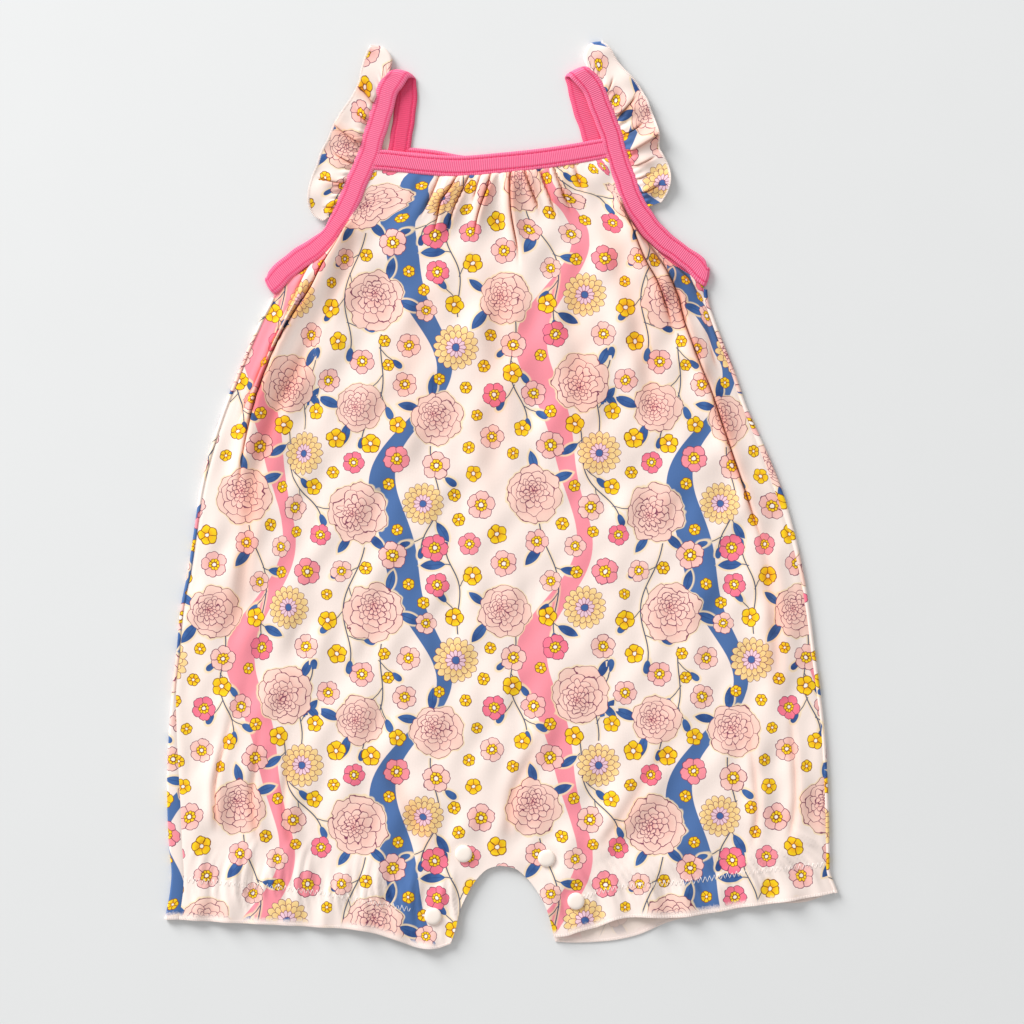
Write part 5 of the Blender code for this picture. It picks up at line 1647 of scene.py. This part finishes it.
def makeNeckBinding(layer):
    width = neckCut["width"]
    widths, faces = sectionPoints(width)
    edges = {s: strapEdge(s, layer, strapCut["width"] / 2 - neckCut["intoStrap"])[:, :2] for s in (-1, 1)}

    def ends(line):
        return [crossing(edges[s], line)[1] for s in (-1, 1)]

    start, stop = ends(neckLine(layer, 0.0))
    shares = np.linspace(0, 1, int((stop - start) / strapCut["step"]) + 1)
    lines = []
    for u in widths:
        line = neckLine(layer, u)
        start, stop = ends(line)
        xs = start + (stop - start) * shares
        lines.append(np.stack([xs, np.interp(xs, line[:, 0], line[:, 1])], axis=1))
    plan = np.stack(lines, axis=1)
    along = lengthsAlong(plan[:, 0])
    height = bindingHeight(widths[None], along[:, None], width) * faces + neckCut["level"][layer]
    points = np.dstack([plan, height])
    name = f"neckBinding{layer.capitalize()}"
    return ringGrid(name, points, along, widths, np.zeros(len(plan)), closed=False), plan


straps, strapLines, neckPieces, neckPlans = {}, {}, {}, {}
for side in (-1, 1):
    straps[side], strapLines[side] = makeStrap(side)
for layer in ("front", "back"):
    neckPieces[layer], neckPlans[layer] = makeNeckBinding(layer)


# Ruffles

ruffleCut = {
    "wall": 0.65,
    "frontEdge": {  # free edge from the front end up to the tip over the shoulder
        -1: ((-98.0, 150.6), (-102.5, 152.9), (-105.9, 158.3), (-106.3, 165.7), (-104.4, 174.5),
             (-101.6, 181.0), (-99.6, 188.0), (-95.8, 194.8), (-92.3, 203.0), (-88.0, 209.8), (-83.6, 215.6),
             (-80.0, 221.5), (-79.0, 229.0), (-77.6, 235.8), (-75.2, 242.0), (-72.2, 247.2)),
        1: ((88.3, 161.0), (91.6, 166.5), (93.2, 172.0), (92.7, 179.0), (90.0, 185.5), (87.2, 190.5),
            (87.0, 197.0), (85.4, 203.5), (82.6, 211.4), (79.6, 219.0), (75.6, 226.0), (70.0, 231.2),
            (66.4, 236.0), (64.4, 242.0), (60.6, 246.9), (56.0, 249.4)),
    },
    "backEdge": {
        -1: ((-72.0, 243.6), (-74.0, 233.0), (-75.5, 222.0), (-79.0, 211.0), (-82.0, 198.0), (-83.0, 186.0),
             (-82.0, 176.0)),
        1: ((57.5, 245.4), (61.5, 235.0), (66.0, 224.0), (71.0, 213.0), (75.0, 200.0), (77.0, 188.0),
            (77.0, 177.0)),
    },
    "fold": {
        -1: ((-61.4, 240.6), (-65.2, 245.6), (-72.2, 247.2)),
        1: ((46.8, 242.6), (49.6, 247.7), (56.0, 249.4)),
    },
    "frontEnd": {-1: 153.0, 1: 158.0},
    "backEnd": {-1: 172.0, 1: 174.0},
    "underStrap": 1.2,
    "underStrapDrop": 0.5,
    "cells": 34,
    "frontRows": 230,
    "foldRows": 14,
    "backRows": 60,
    "blendFrom": 0.6,  # from this share of the front edge on, rows swing round to the line of the shoulder
    "blendPower": 6,
    "rise": 1.2,
    # place along the front, height, width
    "waves": {
        -1: ((0.16, 1.8, 0.070), (0.33, 1.2, 0.045), (0.47, 1.4, 0.055), (0.63, 1.2, 0.050),
             (0.80, 1.6, 0.060), (0.95, 1.0, 0.040)),
        1: ((0.13, 1.8, 0.060), (0.28, 1.2, 0.040), (0.43, 1.6, 0.050), (0.57, 1.4, 0.045),
            (0.72, 1.2, 0.050), (0.90, 1.4, 0.055)),
    },
    # folds: place at the strap and at the free edge, height and width of the ridge above and below, how far
    # the upper one leans down over the crease, the crease's width, and how far across the fold reaches
    "folds": {
        -1: ((0.07, 0.10, 1.6, 5.0, 1.6, 4.0, 0.8, 1.2, 0.6),
             (0.24, 0.26, 2.4, 4.5, 1.8, 4.0, 1.6, 1.1, 0.9),
             (0.37, 0.42, 1.8, 4.0, 1.4, 3.5, 1.0, 1.0, 0.75),
             (0.51, 0.56, 3.0, 5.0, 2.0, 4.0, 2.4, 1.1, 1.3),
             (0.62, 0.66, 2.2, 3.5, 1.6, 3.0, 1.4, 1.0, 0.7),
             (0.73, 0.745, 3.2, 5.0, 2.0, 4.0, 2.6, 1.1, 1.3)),
        1: ((0.10, 0.13, 2.4, 4.5, 1.8, 4.0, 1.4, 1.0, 0.75),
            (0.20, 0.20, 1.8, 3.0, 1.4, 3.0, 0.9, 0.8, 0.6),
            (0.29, 0.28, 2.4, 4.0, 1.8, 4.0, 1.6, 1.0, 0.85),
            (0.39, 0.40, 3.2, 5.0, 2.2, 4.0, 2.4, 1.1, 1.4),
            (0.50, 0.49, 2.4, 3.5, 1.8, 3.0, 1.4, 1.0, 0.75),
            (0.61, 0.62, 2.6, 4.0, 1.8, 4.0, 1.6, 1.0, 0.85),
            (0.74, 0.78, 2.0, 4.5, 1.6, 4.0, 1.2, 1.0, 0.65)),
    },
    "lowest": -0.6,  # how far down the folds may go
    "hemShare": 3.2,  # hems of panels are this many times as wide as a ruffle's
    "foldStart": 0.22,  # shares of the width over which a fold grows and dies away
    "foldFade": 0.45,
    "width": 20.0,
    "pleatHeight": 0.4,  # small gathers beside the strap
    "pleatPitch": 4.2,
    "pleatReach": 6.0,
    "printOffset": {-1: (20.0, 88.0), 1: (118.0, 12.0)},
}


def ruffleFolds(side, shares, across, length):
    # how far the folds move the cloth along the edge and up, and their painted shade
    aside, folded, paintedShade = np.zeros((3, len(shares), len(across)))
    for fold in ruffleCut["folds"][side]:
        beside = (shares[:, None] - (fold[0] + (fold[1] - fold[0]) * across)) * length
        grown = easeStep(across, 0.0, ruffleCut["foldStart"]) * (
            1 - easeStep(across, fold[8] - ruffleCut["foldFade"], fold[8]))
        crease = (None, *fold[2:8])
        moved, lifted = creaseSection(beside, grown[None], crease)
        aside += moved
        folded += lifted
        paintedShade = np.maximum(paintedShade, creaseShade(beside, grown[None], crease))
    return aside, np.maximum(folded, ruffleCut["lowest"]), paintedShade


def makeRuffle(side):
    cut = ruffleCut
    across = np.linspace(0, 1, cut["cells"] + 1)

    def besideStrap(layer):
        edge = strapEdge(side, layer, -(strapCut["width"] / 2 - cut["underStrap"]))
        return edge[edge[:, 1] > cut[f"{layer}End"][side]]

    def between(inner, outer):
        return inner[:2] + (outer - inner[:2]) * across[:, None]

    shares = np.linspace(0, 1, cut["frontRows"] + 1)
    innerLine = spacedAlong(besideStrap("front"), shares)
    outerLine = spacedAlong(smoothCurve(cut["frontEdge"][side]), shares)
    lie, below = frontPanel["level"], cut["wall"] / 2
    innerLine[:, 2] -= cut["underStrapDrop"]
    waves = sum(h * bell(shares, place, w) for place, h, w in cut["waves"][side])
    foldLine = spacedAlong(smoothCurve([innerLine[-1, :2], *cut["fold"][side]]), across)
    tangents = unit(np.gradient(foldLine, axis=0))
    away = np.stack([tangents[:, 1], -tangents[:, 0]], axis=1) * -side
    nearStrap = (1 - across[:, None]) ** 2
    away = unit(nearStrap * outwardOf(strapCut["shoulderFold"][side], side) + (1 - nearStrap) * away)
    topHeight = innerLine[-1, 2] * (1 - across) + lie * across + waves[-1] * across ** cut["rise"]
    radius = (topHeight - below) / 2
    foldLine = foldLine - away * (radius * across)[:, None]
    edgeTangents = unit(np.gradient(outerLine, axis=0))
    lengths = lengthsAlong(outerLine)
    aside, folded, paintedShade = ruffleFolds(side, shares, across, lengths[-1])
    rows = []
    for k, share in enumerate(shares):
        blend = share ** cut["blendPower"] if share > cut["blendFrom"] else 0.0
        line = (1 - blend) * between(innerLine[k], outerLine[k]) + blend * foldLine
        line = line + edgeTangents[k] * (aside[k] * (1 - blend))[:, None]
        pleat = cut["pleatHeight"] * math.cos(2 * math.pi * lengths[k] / cut["pleatPitch"]) * (1 - blend)
        pleat = pleat * bell(across * cut["width"], cut["pleatReach"] / 2, cut["pleatReach"] / 2)
        height = innerLine[k, 2] * (1 - across) + lie * across + waves[k] * across ** cut["rise"] + pleat
        rows.append(np.column_stack([line, height + folded[k] * (1 - blend)]))
    top = rows[-1]
    for angle in np.pi * np.arange(1, cut["foldRows"] + 1) / cut["foldRows"]:
        plan = top[:, :2] + away * radius[:, None] * math.sin(angle)
        rows.append(np.column_stack([plan, below + radius * (1 + math.cos(angle))]))
    backShares = np.linspace(0, 1, cut["backRows"] + 1)[1:]
    backInner = spacedAlong(besideStrap("back")[::-1], backShares)
    backOuter = spacedAlong(smoothCurve(cut["backEdge"][side]), backShares)
    for inner, outer in zip(backInner, backOuter):
        rows.append(np.column_stack([between(inner, outer), np.full(len(across), below)]))
    middle = np.stack(rows)
    normals = offsetNormals(middle)
    normals *= np.sign(normals[0, 0, 2])
    lower, upper = middle - normals * cut["wall"] / 2, middle + normals * cut["wall"] / 2
    for wall in (lower, upper):
        wall[..., 2] = np.maximum(wall[..., 2], 0.0)
    run = acrossLength(middle)
    alongEdge = downLength(middle)[:, -1:] + run * 0
    hem = (run[:, -1:] - run) * cut["hemShare"]
    places = np.dstack([side * run, alongEdge]) + cut["printOffset"][side]
    paintedShade = np.vstack([paintedShade, np.zeros((len(middle) - len(paintedShade), len(across)))])
    obj = printedCloth(f"ruffle{sideNames[side]}", lower, upper, places, hem, alongEdge, paintedShade)
    return obj, middle, normals


ruffles, ruffleLines = {}, {}
for side in (-1, 1):
    ruffles[side], *ruffleLines[side] = makeRuffle(side)


# Snap caps

snapCap = {
    "radius": 4.75,
    "rise": 1.5,
    "skirt": 0.55,
    "footShare": 0.9,
    "steps": 56,
    # outline from the middle of the top to the foot, in shares of the radius and the rise
    "outline": ((0.0, 1.0), (0.25, 0.99), (0.48, 0.96), (0.66, 0.9), (0.8, 0.79), (0.9, 0.62), (0.96, 0.42),
                (0.99, 0.2), (1.0, 0.0), (0.975, -0.12), (0.93, -0.2)),
}


def makeSnap(number, foot, centre):
    cap = snapCap
    bm = bmesh.new()
    outline = [(r * cap["radius"], h * cap["rise"]) for r, h in cap["outline"]]
    outline += [(cap["footShare"] * cap["radius"], -cap["skirt"]), (0.0, -cap["skirt"])]
    chain = [bm.verts.new((r * mm, 0, h * mm)) for r, h in outline]
    edges = [bm.edges.new(pair) for pair in zip(chain, chain[1:])]
    bmesh.ops.spin(bm, geom=chain + edges, cent=(0, 0, 0), axis=(0, 0, 1), angle=2 * math.pi,
                   steps=cap["steps"], use_merge=True)
    bmesh.ops.remove_doubles(bm, verts=bm.verts, dist=1e-6)
    bmesh.ops.recalc_face_normals(bm, faces=bm.faces)
    bmesh.ops.translate(bm, verts=bm.verts, vec=(centre[0], centre[1], foot))
    obj = meshObject(f"snapCap{number}", bm)
    obj.data.materials.append(snapPlastic)
    return obj


snaps = [makeSnap(k + 1, snapBoxes[k][0].z, centre) for k, centre in enumerate(snapCentres)]
print("snap caps:", len(snaps))


# Sewing threads, each a joined mesh of many short stitches

def threadPiece(name, runs, radius, material):
    curve = bpy.data.curves.new(name + "Path", "CURVE")
    curve.dimensions = "3D"
    curve.bevel_depth = radius * mm
    curve.bevel_resolution = 0
    curve.use_fill_caps = True
    for run in runs:
        spline = curve.splines.new("POLY")
        spline.points.add(len(run) - 1)
        spline.points.foreach_set("co", np.column_stack([run * mm, np.ones(len(run))]).ravel())
    holder = bpy.data.objects.new(name + "Path", curve)
    bpy.context.scene.collection.objects.link(holder)
    graph = bpy.context.evaluated_depsgraph_get()
    mesh = bpy.data.meshes.new_from_object(holder.evaluated_get(graph))
    bpy.data.objects.remove(holder)
    bm = bmesh.new()
    bm.from_mesh(mesh)
    bmesh.ops.remove_doubles(bm, verts=bm.verts, dist=1e-6)
    bmesh.ops.recalc_face_normals(bm, faces=bm.faces)
    obj = meshObject(name, bm)
    obj.data.materials.append(material)
    print(f"{name}:", len(runs), "stitches,", len(obj.data.polygons), "faces")
    return obj


def readAlong(place, at, *grids):
    # rows of each grid at the distances given along its line
    return [np.column_stack([np.interp(at, place, values) for values in grid.T]) for grid in grids]


coverStitch = {
    "length": 2.1,
    "pitch": 2.5,
    "radius": 0.15,
    "over": 0.06,  # how far the thread stands out of its groove
    "endClear": 2.0,
    # place along a stitch and height at it
    "shape": ((0.0, -0.12), (0.12, 0.05), (0.5, 0.1), (0.88, 0.05), (1.0, -0.12)),
}
stitchReach, stitchRise = np.array(coverStitch["shape"]).T
stitchReach = stitchReach * coverStitch["length"]
stitchRise = strapCut["wall"] / 2 - ribSection["groove"] + coverStitch["over"] + stitchRise


def strapStitches(side):
    ring, across, normals, total = strapLines[side]
    place = np.append(lengthsAlong(ring), total)
    grids = [np.vstack([grid, grid[:1]]) for grid in (ring, across, normals)]
    runs = []
    for face in (-1, 1):
        for line in (-1, 1):
            offset = line * ribSection["stitchAt"]
            for start in np.arange(0, total - coverStitch["pitch"], coverStitch["pitch"]):
                centre, aside, up = readAlong(place, start + stitchReach, *grids)
                drawn = strapDraw(side, centre, np.array([offset]))[:, 0]
                runs.append(centre + aside * offset + drawn + up * face * stitchRise[:, None])
    return threadPiece(f"strapStitches{sideNames[side]}", runs, coverStitch["radius"], pinkThread)


def neckStitches(layer):
    xs = neckPlans[layer][..., 0]
    runs = []
    for line in (-1, 1):
        level = neckLine(layer, line * ribSection["stitchAt"])
        first, last = xs.min() + coverStitch["endClear"], xs.max() - coverStitch["endClear"]
        for start in np.arange(first, last - coverStitch["pitch"], coverStitch["pitch"]):
            x = start + stitchReach
            y = np.interp(x, level[:, 0], level[:, 1])
            runs += [np.column_stack([x, y, neckCut["level"][layer] + f * stitchRise]) for f in (-1, 1)]
    return threadPiece(f"neckStitches{layer.capitalize()}", runs, coverStitch["radius"], pinkThread)


stitchPieces = {("strap", s): strapStitches(s) for s in (-1, 1)}
stitchPieces.update({("neck", layer): neckStitches(layer) for layer in ("front", "back")})

overlock = {
    "pitch": 0.95,
    "depth": 1.5,
    "ruffleDepth": 1.1,
    "ends": (0.4, 0.6),
    "slant": 0.55,
    "radius": 0.13,
    "clear": 0.08,  # between the thread and the cloth
    "bend": 0.25,  # where a loop bends down, from the edge
}


def edgeLoops(edgeLine, inward, up, wall, depth):
    # loops of overlock thread that wrap an edge: inward and up are unit vectors at each point
    place = lengthsAlong(edgeLine)
    top, bend, clear = wall / 2 + overlock["clear"], overlock["bend"], overlock["clear"]
    reach = np.array([depth, bend, -clear - 0.1, bend, depth])[:, None]
    rise = np.array([top, top, 0.0, -top, -top])[:, None]
    slants = overlock["slant"] * np.array([1.0, 0.5, 0.0, 0.5, 1.0])
    runs = []
    first, last = overlock["ends"]
    for start in np.arange(first, place[-1] - last, overlock["pitch"]):
        point, into, over = readAlong(place, start + slants, edgeLine, inward, up)
        runs.append(point + into * reach + over * rise)
    return runs


def hemThread(name, surface, wall):
    # the last row of each half of a panel is a hem
    half = surface.shape[1] // 2
    runs = []
    for part in (surface[:, :half], surface[:, half:]):
        up = offsetNormals(part)[-1]
        inward = unit(part[-3] - part[-1])
        runs += edgeLoops(part[-1] - up * wall / 2, inward, up, wall, overlock["depth"])
    return threadPiece(name, runs, overlock["radius"], creamThread)


elasticStitch = {
    "lines": {  # along the middle of each elastic
        -1: ((-173.4, -211.9), (-110.7, -217.4), (-47.4, -228.4)),
        1: ((41.1, -223.4), (48.8, -220.1), (109.3, -211.9), (133.0, -208.0), (179.5, -203.3)),
    },
    "height": 3.3,  # of the zigzag across the elastic
    "pitch": 2.5,
    "radius": 0.15,
    "rise": (-0.12, 0.06, 0.08, 0.06, -0.12),
    "rows": 12,  # its height is read from the legs and from this many rows of the cloth above them
    "neighbours": 4,
}


def frontHeight(x, y):
    # height of the front's outer face near the hems
    grid = frontTop[frontPanel["trunkRows"] - elasticStitch["rows"]:].reshape(-1, 3)
    gaps = np.hypot(grid[:, 0] - x, grid[:, 1] - y)
    count = elasticStitch["neighbours"]
    nearest = np.argpartition(gaps, count)[:count]
    weights = 1 / (gaps[nearest] + 0.05)  # never a division by 0
    return (grid[nearest, 2] * weights).sum() / weights.sum()


def elasticPiece(side):
    stitch = elasticStitch
    line = smoothCurve(stitch["lines"][side], step=0.5)
    place = lengthsAlong(line)
    shares = np.linspace(0, 1, len(stitch["rise"]))
    runs = []
    for k, start in enumerate(np.arange(0, place[-1] - stitch["pitch"], stitch["pitch"] / 2)):
        x, y = readAlong(place, start + shares * stitch["pitch"] / 2, line)[0].T
        y = y + (1 if k % 2 else -1) * (shares - 0.5) * stitch["height"]
        z = np.array([frontHeight(*spot) for spot in zip(x, y)]) + stitch["rise"]
        runs.append(np.column_stack([x, y, z]))
    return threadPiece(f"elasticStitches{sideNames[side]}", runs, stitch["radius"], creamThread)


for side in (-1, 1):
    stitchPieces["elastic", side] = elasticPiece(side)
stitchPieces["hem", "front"] = hemThread("frontHemThread", frontTop, frontPanel["wall"])
stitchPieces["hem", "back"] = hemThread("backHemThread", backInner, backPanel["wall"])
for side in (-1, 1):
    middle, normals = ruffleLines[side]
    inward = unit(middle[:, -3] - middle[:, -1])
    runs = edgeLoops(middle[:, -1], inward, normals[:, -1], ruffleCut["wall"], overlock["ruffleDepth"])
    name = f"ruffleThread{sideNames[side]}"
    stitchPieces["ruffle", side] = threadPiece(name, runs, overlock["radius"], creamThread)


# Floor, camera and light

studio = {
    "floorSize": 3.0,  # in metres; places and the lamp's size are in millimetres
    "floorHeight": -0.15,
    "cameraPlace": (5.94, -9.49, 1567.0),
    "lens": 100.0,
    "sensor": 36.0,
    "worldStrength": 0.56,
    "keyPlace": (-3060.0, 3500.0, 2150.0),
    "keySize": 2900.0,
    "keyPower": 318.0,
    "clip": (0.05, 20.0),  # the camera sees what lies between, in metres
}


def makeFloor():
    bm = bmesh.new()
    bmesh.ops.create_grid(bm, x_segments=2, y_segments=2, size=studio["floorSize"] / 2)
    bmesh.ops.translate(bm, verts=bm.verts, vec=(0, 0, studio["floorHeight"] * mm))
    obj = meshObject("floor", bm)
    obj.data.materials.append(floorPaint)


def placed(name, data, place):
    obj = bpy.data.objects.new(name, data)
    bpy.context.scene.collection.objects.link(obj)
    obj.location = [v * mm for v in place]
    return obj


def makeStudio():
    makeFloor()
    scene = bpy.context.scene
    lamp = bpy.data.lights.new("keyLight", "AREA")
    lamp.shape, lamp.size, lamp.energy = "DISK", studio["keySize"] * mm, studio["keyPower"]
    key = placed("keyLight", lamp, studio["keyPlace"])
    key.rotation_euler = (-key.location).to_track_quat("-Z", "Y").to_euler()
    scene.world = bpy.data.worlds.new("paleRoom")
    scene.world.use_nodes = True
    background = scene.world.node_tree.nodes["Background"]
    background.inputs["Color"].default_value = (1.0, 1.0, 1.0, 1.0)
    background.inputs["Strength"].default_value = studio["worldStrength"]
    lens = bpy.data.cameras.new("camera")
    lens.lens, lens.sensor_width = studio["lens"], studio["sensor"]
    lens.clip_start, lens.clip_end = studio["clip"]
    bpy.context.scene.camera = placed("camera", lens, studio["cameraPlace"])
    scene.view_settings.view_transform, scene.view_settings.look = "Standard", "None"


makeStudio()
print("studio ready")


# Each piece joins the root body and hides the parts of the frame that it stands for

def declare(obj, slot, *nodes):
    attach(obj, "root")
    if nodes:
        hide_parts(*nodes)


declare(frontPiece, "printed_jersey", "front_panel")
declare(backPiece, "printed_jersey", "back_panel")
for layer in ("front", "back"):
    declare(neckPieces[layer], "pink_rib", f"neck_binding_{layer}")
for side in (-1, 1):
    declare(straps[side], "pink_rib", f"strap_{nodeEnds[side]}")
    declare(ruffles[side], "printed_jersey", f"ruffle_{nodeEnds[side]}")
for number, snap in enumerate(snaps, 1):
    declare(snap, "snap_cream", f"snap_{number}")
for (kind, _), threads in stitchPieces.items():
    declare(threads, "pink_rib" if kind in ("strap", "neck") else "printed_jersey")
